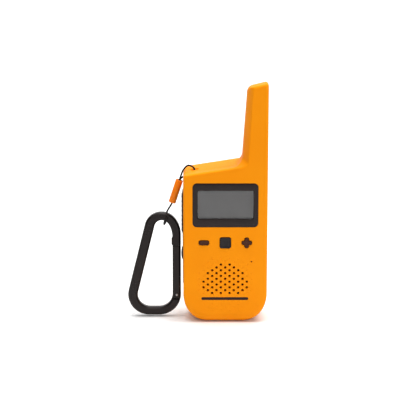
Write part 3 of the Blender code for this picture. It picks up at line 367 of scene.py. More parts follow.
def woven(name, a, b, scale=2600.0):
    m, nt, p = new_mat(name)
    vec = coords(nt)
    w1 = node(nt, "ShaderNodeTexWave", wave_type="BANDS", bands_direction="X")
    w2 = node(nt, "ShaderNodeTexWave", wave_type="BANDS", bands_direction="Z")
    for w in (w1, w2):
        nt.links.new(vec, w.inputs["Vector"])
        w.inputs["Scale"].default_value = scale
        w.inputs["Distortion"].default_value = 0.6
    mul = node(nt, "ShaderNodeMath", operation="MULTIPLY")
    nt.links.new(w1.outputs["Fac"], mul.inputs[0])
    nt.links.new(w2.outputs["Fac"], mul.inputs[1])
    nt.links.new(mixed(nt, mul.outputs[0], a, b), p.inputs["Base Color"])
    p.inputs["Roughness"].default_value = 0.85
    p.inputs["Sheen Weight"].default_value = 0.25
    nt.links.new(bump(nt, mul.outputs[0], 0.00008, 0.8), p.inputs["Normal"])
    return m


def braid():
    """Black braided nylon: two sets of yarns crossing along the cord."""
    m, nt, p = new_mat("braided_cord")
    uv = nt.nodes.new("ShaderNodeUVMap")
    uv.uv_map = "UVMap"
    mp = nt.nodes.new("ShaderNodeMapping")
    nt.links.new(uv.outputs["UV"], mp.inputs["Vector"])
    fac = []
    for sign in (1, -1):
        w = node(nt, "ShaderNodeTexWave", wave_type="BANDS", bands_direction="DIAGONAL")
        m2 = nt.nodes.new("ShaderNodeMapping")
        m2.inputs["Scale"].default_value = (6.0 * sign, 1900.0 / 1000.0 * 1000.0, 1.0)
        nt.links.new(mp.outputs["Vector"], m2.inputs["Vector"])
        nt.links.new(m2.outputs["Vector"], w.inputs["Vector"])
        w.inputs["Scale"].default_value = 1.0
        fac.append(w.outputs["Fac"])
    mx = node(nt, "ShaderNodeMath", operation="MAXIMUM")
    nt.links.new(fac[0], mx.inputs[0])
    nt.links.new(fac[1], mx.inputs[1])
    fuzz = noise(nt, coords(nt), 9000.0, 2.0)
    nt.links.new(mixed(nt, mx.outputs[0], (0.005, 0.003, 0.0025), (0.013, 0.009, 0.008)), p.inputs["Base Color"])
    nt.links.new(ranged(nt, fuzz, 0.3, 0.7, 0.65, 0.85), p.inputs["Roughness"])
    p.inputs["Specular IOR Level"].default_value = 0.2
    p.inputs["Sheen Weight"].default_value = 0.04
    nt.links.new(bump(nt, mx.outputs[0], 0.00006, 0.8), p.inputs["Normal"])
    return m


M["anodised"] = anodised()
M["board"] = board_green()
M["cell"] = cell_label()
M["lcd"] = lcd()
M["lens"] = lens_clear()
M["felt"] = woven("felt_black", (0.006, 0.005, 0.005), (0.018, 0.014, 0.013))
M["cord"] = braid()
M["cone"] = moulded("cone_paper", (0.02, 0.02, 0.02), (0.035, 0.033, 0.03), (0.7, 0.85), grain=2500.0, depth=0.00003)


# ------------------------------------------------------------------ mesh helpers (mm in, row frame out)
def make(name, verts, faces, mat=None, body="radio", replaces=(), slot=None, smooth=40, cutter=False):
    bm = bmesh.new()
    vs = [bm.verts.new(to_row(v)) for v in verts]
    for f in faces:
        bm.faces.new([vs[i] for i in f])
    bmesh.ops.recalc_face_normals(bm, faces=bm.faces)
    me = bpy.data.meshes.new(name)
    bm.to_mesh(me)
    bm.free()
    ob = bpy.data.objects.new(name, me)
    bpy.context.scene.collection.objects.link(ob)
    if cutter:
        ob.hide_render = True
        return ob
    dress(ob, mat, body, replaces, slot, smooth)
    return ob


def dress(ob, mat, body="radio", replaces=(), slot=None, smooth=40):
    if smooth:
        ob.data.shade_smooth()
        ob.data.set_sharp_from_angle(angle=math.radians(smooth))
    ob.data.materials.clear()
    ob.data.materials.append(mat)
    if body:
        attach(ob, body)
    if replaces:
        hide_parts(*replaces)
    return ob


def loft_faces(n, rings, caps=True):
    faces = [tuple(range(n))[::-1], tuple(range(n * (rings - 1), n * rings))] if caps else []
    for r in range(rings - 1):
        for i in range(n):
            j = (i + 1) % n
            faces.append((r * n + i, r * n + j, (r + 1) * n + j, (r + 1) * n + i))
    return faces


def loft(name, rings, mat=None, **kw):
    n = len(rings[0])
    return make(name, [p for r in rings for p in r], loft_faces(n, len(rings)), mat, **kw)


def circle(cx, cz, r, n, turn=0.0):
    return [(cx + r * math.cos(2 * math.pi * (k + turn) / n), cz + r * math.sin(2 * math.pi * (k + turn) / n)) for k in range(n)]


def rounded(x0, x1, z0, z1, r, n=8):
    pts = []
    for cx, cz, a in ((x1 - r, z0 + r, -90), (x1 - r, z1 - r, 0), (x0 + r, z1 - r, 90), (x0 + r, z0 + r, 180)):
        for k in range(n + 1):
            t = math.radians(a + 90.0 * k / n)
            pts.append((cx + r * math.cos(t), cz + r * math.sin(t)))
    return pts


def xz(poly, y):
    return [(x, y, z) for x, z in poly]


def yz(poly, x):
    return [(x, y, z) for y, z in poly]


def cut(ob, cutter, op="DIFFERENCE"):
    m = ob.modifiers.new("cut", "BOOLEAN")
    m.operation, m.solver, m.object = op, "EXACT", cutter
    return ob


def settle(ob, *gone):
    """The object's modifiers made its mesh, and the cutters taken away."""
    dg = bpy.context.evaluated_depsgraph_get()
    dg.update()
    me = bpy.data.meshes.new_from_object(ob.evaluated_get(dg))
    old = ob.data
    ob.modifiers.clear()
    ob.data = me
    bpy.data.meshes.remove(old)
    for g in gone:
        bpy.data.objects.remove(g, do_unlink=True)
    return ob


def weighted(ob):
    m = ob.modifiers.new("weighted", "WEIGHTED_NORMAL")
    m.keep_sharp = True
    m.weight = 80
    return ob


def mouth(outline_at, y, depth, r, up=-1, steps=4, extra=1.5):
    """Rings of a cutter that opens with a small round of radius r at the surface y. outline_at(grow) gives the outline."""
    rings = [xz(outline_at(r + extra * 0.5), y + up * extra), xz(outline_at(r), y + up * 0.02)]
    for k in range(1, steps + 1):
        a = math.radians(90.0 * k / steps)
        rings.append(xz(outline_at(r * (1 - math.sin(a))), y - up * r * (1 - math.cos(a))))
    rings.append(xz(outline_at(0.0), y - up * depth))
    return rings


def drill(x, z, r, y, depth, edge, n=20, up=-1, steps=3):
    return mouth(lambda g: circle(x, z, r + g, n), y, depth, edge, up, steps, 1.0)


def merged(name, ring_sets):
    verts, faces = [], []
    for rings in ring_sets:
        n, base = len(rings[0]), len(verts)
        verts += [p for r in rings for p in r]
        faces += [tuple(i + base for i in f) for f in loft_faces(n, len(rings))]
    return make(name, verts, faces, cutter=True)


# ------------------------------------------------------------------ case outlines
def corner(p, q, s, r, n):
    p, q, s = Vector(p), Vector(q), Vector(s)
    a, b = (p - q).normalized(), (s - q).normalized()
    half = a.angle(b) / 2
    t = r / math.tan(half)
    c = q + (a + b).normalized() * (r / math.sin(half))
    v0, v1 = (q + a * t) - c, (q + b * t) - c
    turn = math.atan2(v0.x * v1.y - v0.y * v1.x, v0.dot(v1))
    out = []
    for k in range(n + 1):
        g = turn * k / n
        out.append(c + Vector((v0.x * math.cos(g) - v0.y * math.sin(g), v0.x * math.sin(g) + v0.y * math.cos(g))))
    return out


def shoulder(x):
    return SHOULDER_Z + SHOULDER_SLOPE * (x + CASE_W / 2)


def line_x(a, b, z):
    return a[0] + (b[0] - a[0]) * (z - a[1]) / (b[1] - a[1])


def between(p, q, n):
    return [(p[0] + (q[0] - p[0]) * k / n, p[1] + (q[1] - p[1]) * k / n, p[2] + (q[2] - p[2]) * k / n) for k in range(1, n)]


def outline(side, low, top, foot, head, crest, fillet, inset=0.0, antenna=True, depths=(1.6, 1.6, 7.0, 1.6, 1.6, 6.0), fine=1.0):
    xr, xl = CASE_W / 2 - side - inset, -CASE_W / 2 + side + inset
    zb = low + inset
    a, b = BASE_A - side * 0.45 - inset, BASE_B - low * 0.35 - inset
    d_right, d_top, d_flank, d_sh, d_left, d_low = depths
    pts = []
    nb = int(28 * fine)
    for k in range(nb + 1):
        t = math.radians(90.0 * k / nb)
        w = math.sin(t) ** 2
        pts.append((xr - a + a * math.sin(t) ** (2 / BASE_N), zb + b - b * math.cos(t) ** (2 / BASE_N), d_low + (d_right - d_low) * w))
    drop = top + inset

    def sh(x):
        return shoulder(x) - drop

    na = int(12 * fine)
    if antenna:
        f, h = (foot[0] + inset, foot[1]), (head[0] + inset, head[1])
        zc = crest - inset
        right_top = (xr, zc + 0.45)
        left_top = (line_x(f, h, zc - 3.0), zc - 3.0)
        xi = f[0]
        for _ in range(20):
            xi = line_x(f, h, sh(xi))
        inner = (xi, sh(xi))
        seq = [((xr, 60.0), right_top, left_top, 1.9, na, d_right, d_top),
               (right_top, left_top, inner, 5.0, na, d_top, d_flank),
               (left_top, inner, (xl, sh(xl)), fillet + inset, na + 6, d_flank, d_sh)]
        before = inner
    else:
        right_top = (xr, sh(xr))
        seq = [((xr, 60.0), right_top, (xl, sh(xl)), 3.0, na, d_right, d_sh)]
        before = right_top
    seq.append((before, (xl, sh(xl)), (xl, 60.0), max(2.6 - inset * 0.5, 0.8), na, d_sh, d_left))
    for p, q, s, r, n, d0, d1 in seq:
        arc = [(v.x, v.y, d0 + (d1 - d0) * (3 * (k / n) ** 2 - 2 * (k / n) ** 3)) for k, v in enumerate(corner(p, q, s, r, n))]
        pts += between(pts[-1], arc[0], 10)
        pts += arc
    low_left = []
    for k in range(nb + 1):
        t = math.radians(90.0 * (nb - k) / nb)
        w = math.sin(t) ** 2
        low_left.append((xl + a - a * math.sin(t) ** (2 / BASE_N), zb + b - b * math.cos(t) ** (2 / BASE_N), d_low + (d_left - d_low) * w))
    pts += between(pts[-1], low_left[0], 10)
    pts += low_left
    pts += between(pts[-1], pts[0], 6)
    return pts


STEPS = [0, 8, 16, 24, 33, 42, 51, 60, 70, 80, 90]


def eased(g, depth):
    """A point of the front edge's section at g degrees: round where the edge is shallow, near flat on the antenna's deep flank."""
    w = min(max((depth - 2.0) / 4.5, 0.0), 1.0)
    k = 1.0 + 0.62 * w
    return math.sin(math.radians(g)) ** k, 1 - max(math.cos(math.radians(g)), 0.0) ** k


def front_rings(inset_front, inset_side, y_front, y_end, shrink=0.0, angles=STEPS, rim=0.12, fine=1.0):
    face = outline(1.55, 6.6, 1.2, ANT_FOOT_F, ANT_HEAD_F, TIP_Z - 1.6, 5.0, inset_front, fine=fine)
    side = outline(0.0, 0.0, 0.0, ANT_FOOT, ANT_HEAD, TIP_Z, 7.5, inset_side, fine=fine)
    rings = []
    for g in angles:
        rings.append([(f[0] + (e[0] - f[0]) * s, y_front + max(e[2] - shrink, 0.4) * c, f[1] + (e[1] - f[1]) * s) for f, e, (s, c) in ((f, e, eased(g, e[2] if e[1] > 100.0 else 0.0)) for f, e in zip(face, side))])
    if rim:
        last = outline(0.0, 0.0, 0.0, ANT_FOOT, ANT_HEAD, TIP_Z, 7.5, inset_side + rim, fine=fine)
        rings.append([(e[0], y_end - rim, e[1]) for e in side])
        rings.append([(e[0] + (f[0] - e[0]) * 0.3, y_end - rim * 0.3, e[1] + (f[1] - e[1]) * 0.3) for e, f in zip(side, last)])
        rings.append([(e[0], y_end, e[1]) for e in last])
    else:
        rings.append([(e[0], y_end, e[1]) for e in side])
    return rings


def back_rings(inset_back, inset_side, y_start, y_back, shrink=0.0, angles=STEPS, rim=0.12, fine=1.0):
    deep = (10.0, 3.0, 3.0, 3.5, 10.0, 5.0)
    side = outline(0.0, 0.0, 0.0, None, None, 0, 0, inset_side, False, deep, fine)
    back = outline(7.8, 2.6, 2.2, None, None, 0, 0, inset_back, False, deep, fine)
    rings = []
    if rim:
        first = outline(0.0, 0.0, 0.0, None, None, 0, 0, inset_side + rim, False, deep, fine)
        rings.append([(e[0], y_start, e[1]) for e in first])
        rings.append([(e[0] + (f[0] - e[0]) * 0.7, y_start + rim * 0.3, e[1] + (f[1] - e[1]) * 0.7) for e, f in zip(first, side)])
        rings.append([(e[0], y_start + rim, e[1]) for e in side])
    else:
        rings.append([(e[0], y_start, e[1]) for e in side])
    for g in angles:
        s, c = math.sin(math.radians(g)), math.cos(math.radians(g))
        rings.append([(e[0] + (f[0] - e[0]) * (1 - c), y_back - max(e[2] - shrink, 0.5) * (1 - s), e[1] + (f[1] - e[1]) * (1 - c)) for e, f in zip(side, back)])
    return rings


def antenna_back(z):
    return ANT_BACK_TIP + (ANT_BACK_BASE - ANT_BACK_TIP) * (163.0 - z) / 55.0


def antenna_rear_rings(rim=0.12):
    def ring(inset, side=0.0):
        f, h = (ANT_FOOT[0] + inset, ANT_FOOT[1]), (ANT_HEAD[0] + inset, ANT_HEAD[1])
        xr, zc = CASE_W / 2 - inset - 0.02, TIP_Z - inset * 0.6
        rt, lt = (xr, zc + 0.45), (line_x(f, h, zc - 3.0), zc - 3.0)
        xi = f[0]
        for _ in range(20):
            xi = line_x(f, h, shoulder(xi) - 0.12)
        inner = (xi, shoulder(xi) - 0.12)
        left = (xi - 9.0, shoulder(xi - 9.0) - 0.12)
        pts = [(xr, 97.0)]
        for p, q, s, r, n in (((xr, 100.0), rt, lt, 1.9, 12), (rt, lt, inner, 5.0, 12), (lt, inner, left, 7.5, 18)):
            arc = [tuple(v) for v in corner(p, q, s, r, n)]
            for k in range(1, 12):
                pts.append((pts[-1][0], pts[-1][1]) if False else (pts[-1][0] + (arc[0][0] - pts[-1][0]) / (12 - k + 1), pts[-1][1] + (arc[0][1] - pts[-1][1]) / (12 - k + 1)))
            pts += arc
        pts += [left, (xi - 9.0, 97.0)]
        return pts
    side, back, first = ring(0.0), ring(2.0), ring(rim)
    y0 = PARTING + 0.15
    rings = [[(x, y0, z) for x, z in first], [(x, y0 + rim, z) for x, z in side]]
    for g in STEPS:
        s, c = math.sin(math.radians(g)), math.cos(math.radians(g))
        row = []
        for (x, z), (u, w) in zip(side, back):
            z1 = z + (w - z) * (1 - c)
            d = min(3.0, (antenna_back(z1) - y0 - rim) * 0.8)
            row.append((x + (u - x) * (1 - c), antenna_back(z1) - d * (1 - s), z1))
        rings.append(row)
    return rings


def grille_holes():
    m = len(GRILLE_COUNTS) // 2
    for col, count in enumerate(GRILLE_COUNTS):
        x = (col - m) * GRILLE_PITCH_X + math.copysign(0.05, col - m) * abs(col - m)
        low = GRILLE_LOW + (0.0 if col in (2, 4, 6, 8) else GRILLE_PITCH_Z / 2)
        if col in (0, len(GRILLE_COUNTS) - 1):
            low = GRILLE_LOW + GRILLE_PITCH_Z
        for k in range(count):
            yield x, low + k * GRILLE_PITCH_Z


def dimples():
    """The grille's lattice goes on round it as shallow dimples."""
    holes = [(x, z) for x, z in grille_holes()]
    for col in range(-6, 7):
        x = col * GRILLE_PITCH_X + math.copysign(0.05, col) * abs(col)
        for row in range(-5, 8):
            z = GRILLE_LOW + (0.0 if col % 2 else GRILLE_PITCH_Z / 2) + row * GRILLE_PITCH_Z
            if abs(x / 19.6) ** 2.6 + abs((z - 27.4) / 19.6) ** 2.6 > 1.0:
                continue
            if abs(z - 17.2) < 2.6 or any(math.hypot(x - a, z - b) < 1.5 for a, b in holes):
                continue
            yield x, z


# ------------------------------------------------------------------ keys' outlines
def plus_outline(cx, cz, w, h, arm, r, n=4):
    pts = []
    a = arm / 2
    raw = [(a, -h / 2), (a, -a), (w / 2, -a), (w / 2, a), (a, a), (a, h / 2), (-a, h / 2), (-a, a), (-w / 2, a), (-w / 2, -a), (-a, -a), (-a, -h / 2)]
    for k in range(12):
        p, q, s = raw[k - 1], raw[k], raw[(k + 1) % 12]
        concave = k in (1, 4, 7, 10)
        for v in corner(p, q, s, max(r * (0.5 if concave else 1.0), 0.05), n):
            pts.append((cx + v.x, cz + v.y))
    return pts


def key_outline(kind, grow):
    if kind == "minus":
        return rounded(-KEY_PITCH - 3.3 - grow, -KEY_PITCH + 3.3 + grow, KEY_Z - 1.5 - grow, KEY_Z + 1.5 + grow, 1.0 + grow)
    if kind == "menu":
        return rounded(-3.6 - grow, 3.6 + grow, KEY_Z - 3.65 - grow, KEY_Z + 3.65 + grow, 1.1 + grow)
    return plus_outline(KEY_PITCH, KEY_Z, 6.6 + 2 * grow, 6.9 + 2 * grow, 2.5 + 2 * grow, 0.9 + grow * 0.6)


# ------------------------------------------------------------------ front housing
x0, x1, z0, z1 = WINDOW
front = loft("front_shell", front_rings(0.0, 0.0, CASE_FRONT, PARTING - 0.15), M["case"], replaces=("front_housing",), slot="case_yellow")
tools = [loft("t_hollow", front_rings(1.6, WALL, CASE_FRONT + WALL, PARTING + 1.0, 1.5, (0, 30, 60, 90), 0, 0.5), cutter=True)]
tools.append(merged("t_mouths", [
    mouth(lambda g: rounded(x0 - 0.12 - g, x1 + 0.12 + g, z0 - 0.12 - g, z1 + 0.12 + g, 2.9 + g, 10), CASE_FRONT, 1.4, 0.25)]
    + [mouth(lambda g, k=k: key_outline(k, 0.3 + g), CASE_FRONT, 5.0, 0.25) for k in ("minus", "menu", "plus")]
    + [drill(x, z, GRILLE_R + 0.05, CASE_FRONT, 5.0, 0.16) for x, z in grille_holes()]
    + [drill(*MIC_AT, 0.6, CASE_FRONT, 5.0, 0.12, 16)]))
tools.append(loft("t_window", [xz(rounded(x0 + 2.2, x1 - 2.2, z0 + 2.2, z1 - 2.2, 1.0), y) for y in (CASE_FRONT - 1, CASE_FRONT + 4)], cutter=True))
sz0, sz1, sy0, sy1 = STRIP
tools.append(loft("t_strip", [yz(rounded(sy0 - 0.15, sy1 + 0.15, sz0 - 0.15, sz1 + 0.15, 2.45, 8), x) for x in (-27.1, -33.0)], cutter=True))
tools.append(merged("t_stems", [[yz([(-6.0, 72.6), (-1.4, 72.6), (-1.4, 78.4), (-6.0, 78.4)], x) for x in (-33.0, -24.5)],
                                [yz([(-5.6, 44.4), (-1.8, 44.4), (-1.8, 48.8), (-5.6, 48.8)], x) for x in (-33.0, -24.5)]]))


def cap(x, z, r, depth):
    """A shallow dish cutter of radius r and depth."""
    big = (r * r + depth * depth) / (2 * depth)
    rings = []
    for k in range(5):
        a = k / 4.0
        rr = r * (1 - a) + 0.02 * a
        y = CASE_FRONT + (math.sqrt(big * big - rr * rr) - (big - depth))
        rings.append(xz(circle(x, z, rr, 12), y))
    return [xz(circle(x, z, r * 1.05, 12), CASE_FRONT - 0.3)] + rings


tools.append(merged("t_dimples", [cap(x, z, 0.66, 0.25) for x, z in dimples()]))
for t in tools:
    cut(front, t)
settle(front, *tools)
dress(front, M["case"], None)
weighted(front)

# ------------------------------------------------------------------ rear housing
rear = loft("rear_shell", back_rings(0.0, 0.0, PARTING + 0.15, CASE_BACK), M["case_rear"], replaces=("rear_housing",), slot="case_yellow")
ant = loft("t_antenna", antenna_rear_rings(), cutter=True)
cut(rear, ant, "UNION")
groove = [(x, z) for x, z, _ in outline(0, 0, 0, ANT_FOOT, ANT_HEAD, TIP_Z, 7.5, WALL + 0.05, fine=0.5)]
tools = [ant]
dx0, dx1, dz0, dz1 = DOOR
bx0, bx1, bz0, bz1, by = BAY


def diff(t):
    tools.append(t)
    cut(rear, t)


def add(t):
    tools.append(t)
    cut(rear, t, "UNION")


diff(loft("t_groove", [xz(groove, y) for y in (PARTING - 1.0, PARTING + 1.0)], cutter=True))
diff(loft("t_rear_hollow", back_rings(1.0, WALL, PARTING - 1.0, CASE_BACK - WALL, 1.5, (0, 30, 60, 90), 0, 0.5), cutter=True))
hi_z = 153.0
ya, yb = antenna_back(101.0) - 2.2, antenna_back(hi_z) - 2.2
diff(make("t_ant_hollow", [(18.6, PARTING - 1, 101.0), (26.4, PARTING - 1, 101.0), (26.4, ya, 101.0), (18.6, ya, 101.0),
                           (18.6, PARTING - 1, hi_z), (26.4, PARTING - 1, hi_z), (26.4, yb, hi_z), (18.6, yb, hi_z)],
          [(0, 1, 2, 3), (4, 5, 6, 7), (0, 1, 5, 4), (1, 2, 6, 5), (2, 3, 7, 6), (3, 0, 4, 7)], cutter=True))
add(loft("t_bay", [xz([(bx0 - 1.2, bz0 - 1.2), (bx1 + 1.2, bz0 - 1.2), (bx1 + 1.2, bz1 + 1.2), (bx0 - 1.2, bz1 + 1.2)], y) for y in (by - 1.2, CASE_BACK - 1.0)], cutter=True))
for i, (x, z) in enumerate(SCREWS):
    add(loft(f"t_boss{i}", [xz(circle(x, z, 2.5, 24), y) for y in (PARTING + 0.35, CASE_BACK - 0.6)], cutter=True))
add(loft("t_block", [xz([(-27.6, 94.9), (-18.8, 98.4), (-16.6, shoulder(-16.6) - 0.6), (-27.0, shoulder(-27.0) - 1.2)], y) for y in (-4.4, 4.4)], cutter=True))
diff(loft("t_door", mouth(lambda g: rounded(dx0 - 0.2 - g, dx1 + 0.2 + g, dz0 - 0.2 - g, dz1 + 0.8 + g, 3.5 + g, 10), CASE_BACK, 1.9, 0.2, up=1), cutter=True))
diff(loft("t_bayhollow", [xz([(bx0, bz0 + 0.9), (bx1, bz0 + 0.9), (bx1, bz1 - 0.6), (bx0, bz1 - 0.6)], y) for y in (by, CASE_BACK + 2)], cutter=True))
diff(merged("t_drills", [[xz(circle(x, z, 1.25, 16), y) for y in (PARTING - 1, CASE_BACK + 2)] for x, z in SCREWS]
            + [[xz(circle(0, z, 1.3, 16), y) for y in (10, CASE_BACK + 3)] for z in CLIP_SCREW_Z]))
diff(merged("t_seats", [mouth(lambda g, x=x, z=z: circle(x, z, 2.1 + g, 28), CASE_BACK - 0.15, 2.45, 0.2, up=1) for x, z in SCREWS]))


def turned(name, base, axis, profile, n, mat=None, closed=False, **kw):
    a = Vector(axis).normalized()
    u = a.orthogonal().normalized()
    v = a.cross(u)
    verts, faces, rows = [], [], []
    for s, r in profile:
        if r < 1e-6:
            rows.append([len(verts)])
            verts.append(tuple(Vector(base) + a * s))
        else:
            rows.append(list(range(len(verts), len(verts) + n)))
            for k in range(n):
                t = 2 * math.pi * k / n
                verts.append(tuple(Vector(base) + a * s + (u * math.cos(t) + v * math.sin(t)) * r))
    for p, q in list(zip(rows, rows[1:])) + ([(rows[-1], rows[0])] if closed else []):
        for k in range(n):
            m = (k + 1) % n
            if len(p) == 1 and len(q) == 1:
                break
            if len(p) == 1:
                faces.append((p[0], q[k], q[m]))
            elif len(q) == 1:
                faces.append((p[k], p[m], q[0]))
            else:
                faces.append((p[k], p[m], q[m], q[k]))
    if not closed:
        for row in (rows[0], rows[-1]):
            if len(row) > 1:
                faces.append(tuple(row))
    return make(name, verts, faces, mat, **kw)


top_z = shoulder(EYE_TOP[0])
diff(turned("t_well", (EYE_TOP[0], 0, EYE_TOP[1] - 1.2), (0, 0, 1), [(0, EYE_R - 0.3), (0.4, EYE_R), (top_z - EYE_TOP[1] + 0.7, EYE_R), (top_z - EYE_TOP[1] + 1.3, EYE_R + 0.35), (6, EYE_R + 3)], 32, cutter=True))
diff(turned("t_dish", (EYE_TOP[0] + 0.13, -0.9, top_z - 1.7), (0, 0, 1), [(0, 1.55), (0.25, 2.1), (1.1, 2.8), (1.7, 3.05), (2.1, 3.4), (3.6, 5.5)], 48, cutter=True))
eye = Vector((EYE_SIDE[0] - EYE_TOP[0], 0, EYE_SIDE[1] - EYE_TOP[1]))
diff(turned("t_bore", (EYE_TOP[0], 0, EYE_TOP[1]), eye, [(0, EYE_R), (eye.length - 1.9, EYE_R), (eye.length, EYE_R + 1.0)], 32, cutter=True))
diff(loft("t_strip2", [yz(rounded(sy0 - 0.15, sy1 + 0.15, sz0 - 0.15, sz1 + 0.15, 2.45, 8), x) for x in (-27.1, -33.0)], cutter=True))
diff(merged("t_stems2", [[yz([(-6.0, 72.6), (-1.4, 72.6), (-1.4, 78.4), (-6.0, 78.4)], x) for x in (-33.0, -24.5)],
                         [yz([(-5.6, 44.4), (-1.8, 44.4), (-1.8, 48.8), (-5.6, 48.8)], x) for x in (-33.0, -24.5)]]))
pz0, pz1, py0, py1 = PORT
diff(loft("t_port", [yz(rounded(py0 - 0.15, py1 + 1.5, pz0 - 0.15, pz1 + 0.15, 0.8, 6), x) for x in (26.95, 33.0)], cutter=True))
diff(loft("t_porthole", [yz(rounded(-3.9, 3.9, pz0 + 1.6, pz1 - 1.6, 1.0, 6), x) for x in (24.0, 33.0)], cutter=True))
settle(rear, *tools)
dress(rear, M["case_rear"], None)
weighted(rear)

# ------------------------------------------------------------------ accent bar printed under the grille
bar = rounded(-16.2, 15.8, 16.2, 18.2, 0.9, 6)
loft("accent_bar", [xz(bar, CASE_FRONT + 0.05), xz(bar, CASE_FRONT - 0.012)], M["ink"], slot="black_plastic", smooth=30)


# ------------------------------------------------------------------ display
def framed(name, outer_at, inner_at, y_top, y_back, r, mat, **kw):
    """A frame whose outer and inner front edges are rounded. outer_at and inner_at give the outlines moved in by a distance."""
    rings = [xz(outer_at(0), y_back)]
    for k in range(5):
        a = math.radians(90.0 * k / 4)
        rings.append(xz(outer_at(r * (1 - math.cos(a))), y_top + r * (1 - math.sin(a))))
    for k in range(5):
        a = math.radians(90.0 * (4 - k) / 4)
        rings.append(xz(inner_at(-r * (1 - math.cos(a))), y_top + r * (1 - math.sin(a))))
    rings.append(xz(inner_at(0), y_back))
    n = len(rings[0])
    verts = [p for ring in rings for p in ring]
    faces = loft_faces(n, len(rings), False)
    last = (len(rings) - 1) * n
    for i in range(n):
        j = (i + 1) % n
        faces.append((last + i, last + j, j, i))
    return make(name, verts, faces, mat, **kw)


gx0, gx1, gz0, gz1 = GLASS
framed("display_surround", lambda d: rounded(x0 + d, x1 - d, z0 + d, z1 - d, 2.8, 10), lambda d: rounded(gx0 + d, gx1 - d, gz0 + d, gz1 - d, 0.9, 10),
       CASE_FRONT + 0.05, CASE_FRONT + 1.1, 0.14, M["frame"], replaces=("display_frame",), slot="display_black", smooth=30)
lens = [xz(rounded(gx0 + 0.05, gx1 - 0.05, gz0 + 0.05, gz1 - 0.05, 0.85, 10), CASE_FRONT + 1.0),
        xz(rounded(gx0 + 0.05, gx1 - 0.05, gz0 + 0.05, gz1 - 0.05, 0.85, 10), CASE_FRONT + 0.42),
        xz(rounded(gx0 + 0.12, gx1 - 0.12, gz0 + 0.12, gz1 - 0.12, 0.8, 10), CASE_FRONT + 0.35)]
loft("display_window", lens, M["lens"], replaces=("display_lens",), slot="display_clear", smooth=30)


# ------------------------------------------------------------------ front keys
def key_cap(kind, mat, dish, body):
    cx = {"minus": -KEY_PITCH, "menu": 0.0, "plus": KEY_PITCH}[kind]
    top_y, r = CASE_FRONT - 0.55, 0.35
    rings = [xz(key_outline(kind, 0.0), -12.1), xz(key_outline(kind, 0.0), top_y + r)]
    for k in range(1, 6):
        a = math.radians(90.0 * k / 5)
        rings.append(xz(key_outline(kind, -r * (1 - math.cos(a))), top_y + r * (1 - math.sin(a))))
    base = key_outline(kind, -r)
    for s, d in ((0.86, 0.25), (0.68, 0.6), (0.45, 0.85), (0.2, 0.98)):
        rings.append([(cx + (x - cx) * s, top_y + dish * d, KEY_Z + (z - KEY_Z) * s) for x, z in base])
    w, h = (4.4, 2.6) if kind == "minus" else (4.8, 4.8)
    ob = loft(kind + "_cap", rings, mat, body=body, replaces=(kind + "_key",), slot="key_rubber", smooth=50)
    fl = loft("t_flange", [xz(rounded(cx - w, cx + w, KEY_Z - h, KEY_Z + h, 0.5, 3), y) for y in (-12.6, -11.9)], cutter=True)
    cut(ob, fl, "UNION")
    settle(ob, fl)
    dress(ob, mat, None, smooth=50)
    return ob


key_cap("minus", M["key"], 0.10, "minus")
key_cap("menu", M["menu"], 0.30, "menu")
key_cap("plus", M["key"], 0.10, "plus")


# ------------------------------------------------------------------ side strip and side keys
def strip_x(z):
    """How far the strip stands out: a little less at its lower end."""
    t = min(max((z - sz0) / 14.0, 0.0), 1.0)
    return STRIP_X + 0.45 * (1 - t * t * (3 - 2 * t))


def side_plate(name, y_lo, y_hi, z_lo, z_hi, r, x_in, x_out, edge, mat, holes=(), n=10, **kw):
    rings = [yz(rounded(y_lo, y_hi, z_lo, z_hi, r, n), x_in)]
    for k in range(6):
        a = math.radians(90.0 * k / 5)
        g = edge * (1 - math.cos(a))
        poly = rounded(y_lo + g, y_hi - g, z_lo + g, z_hi - g, max(r - g, 0.1), n)
        rings.append([((x_out(z) if callable(x_out) else x_out) + edge * (1 - math.sin(a)), y, z) for y, z in poly])
    ob = loft(name, rings, mat, **kw)
    ts = []
    for hy0, hy1, hz0, hz1, hr in holes:
        t = loft("t_side", [yz(rounded(hy0 - g, hy1 + g, hz0 - g, hz1 + g, hr + g, 6), x) for x, g in ((-24.0, 0), (STRIP_X + 0.28, 0), (STRIP_X + 0.1, 0.06), (STRIP_X - 0.02, 0.2), (-33.0, 1.2))], cutter=True)
        cut(ob, t)
        ts.append(t)
    settle(ob, *ts)
    dress(ob, mat, None, smooth=35)
    return ob


side_plate("side_strip", sy0, sy1, sz0, sz1, 2.3, -27.4, strip_x, 0.6, M["black"],
           [(PTT[2] - 0.2, PTT[3] + 0.2, PTT[0] - 0.2, PTT[1] - 0.1, 0.6), (CALL[2] - 0.2, CALL[3] + 0.2, CALL[0] - 0.2, CALL[1] + 0.2, 0.6)],
           body="radio", replaces=("side_bezel",), slot="black_plastic")


def side_key(name, y_lo, y_hi, z_lo, z_hi, face, mat, body, replaces, n_y=14, n_z=96):
    """A side key: a grid over its face, face(u, v) giving x, closed by its edge and its back."""
    verts, faces = [], []
    for i in range(n_z + 1):
        v = i / n_z
        for j in range(n_y + 1):
            u = j / n_y
            verts.append((face(u, v), y_lo + (y_hi - y_lo) * u, z_lo + (z_hi - z_lo) * v))
    w = n_y + 1
    for i in range(n_z):
        for j in range(n_y):
            a = i * w + j
            faces.append((a, a + 1, a + w + 1, a + w))
    edge = [j for j in range(n_y)] + [i * w + n_y for i in range(n_z)] + [n_z * w + j for j in range(n_y, 0, -1)] + [i * w for i in range(n_z, 0, -1)]
    base = len(verts)
    for k in edge:
        _, y, z = verts[k]
        verts.append((-28.4, y, z))
    m = len(edge)
    for k in range(m):
        faces.append((edge[k], edge[(k + 1) % m], base + (k + 1) % m, base + k))
    faces.append(tuple(range(base, base + m)))
    return make(name, verts, faces, mat, body=body, replaces=replaces, slot="black_plastic", smooth=45)


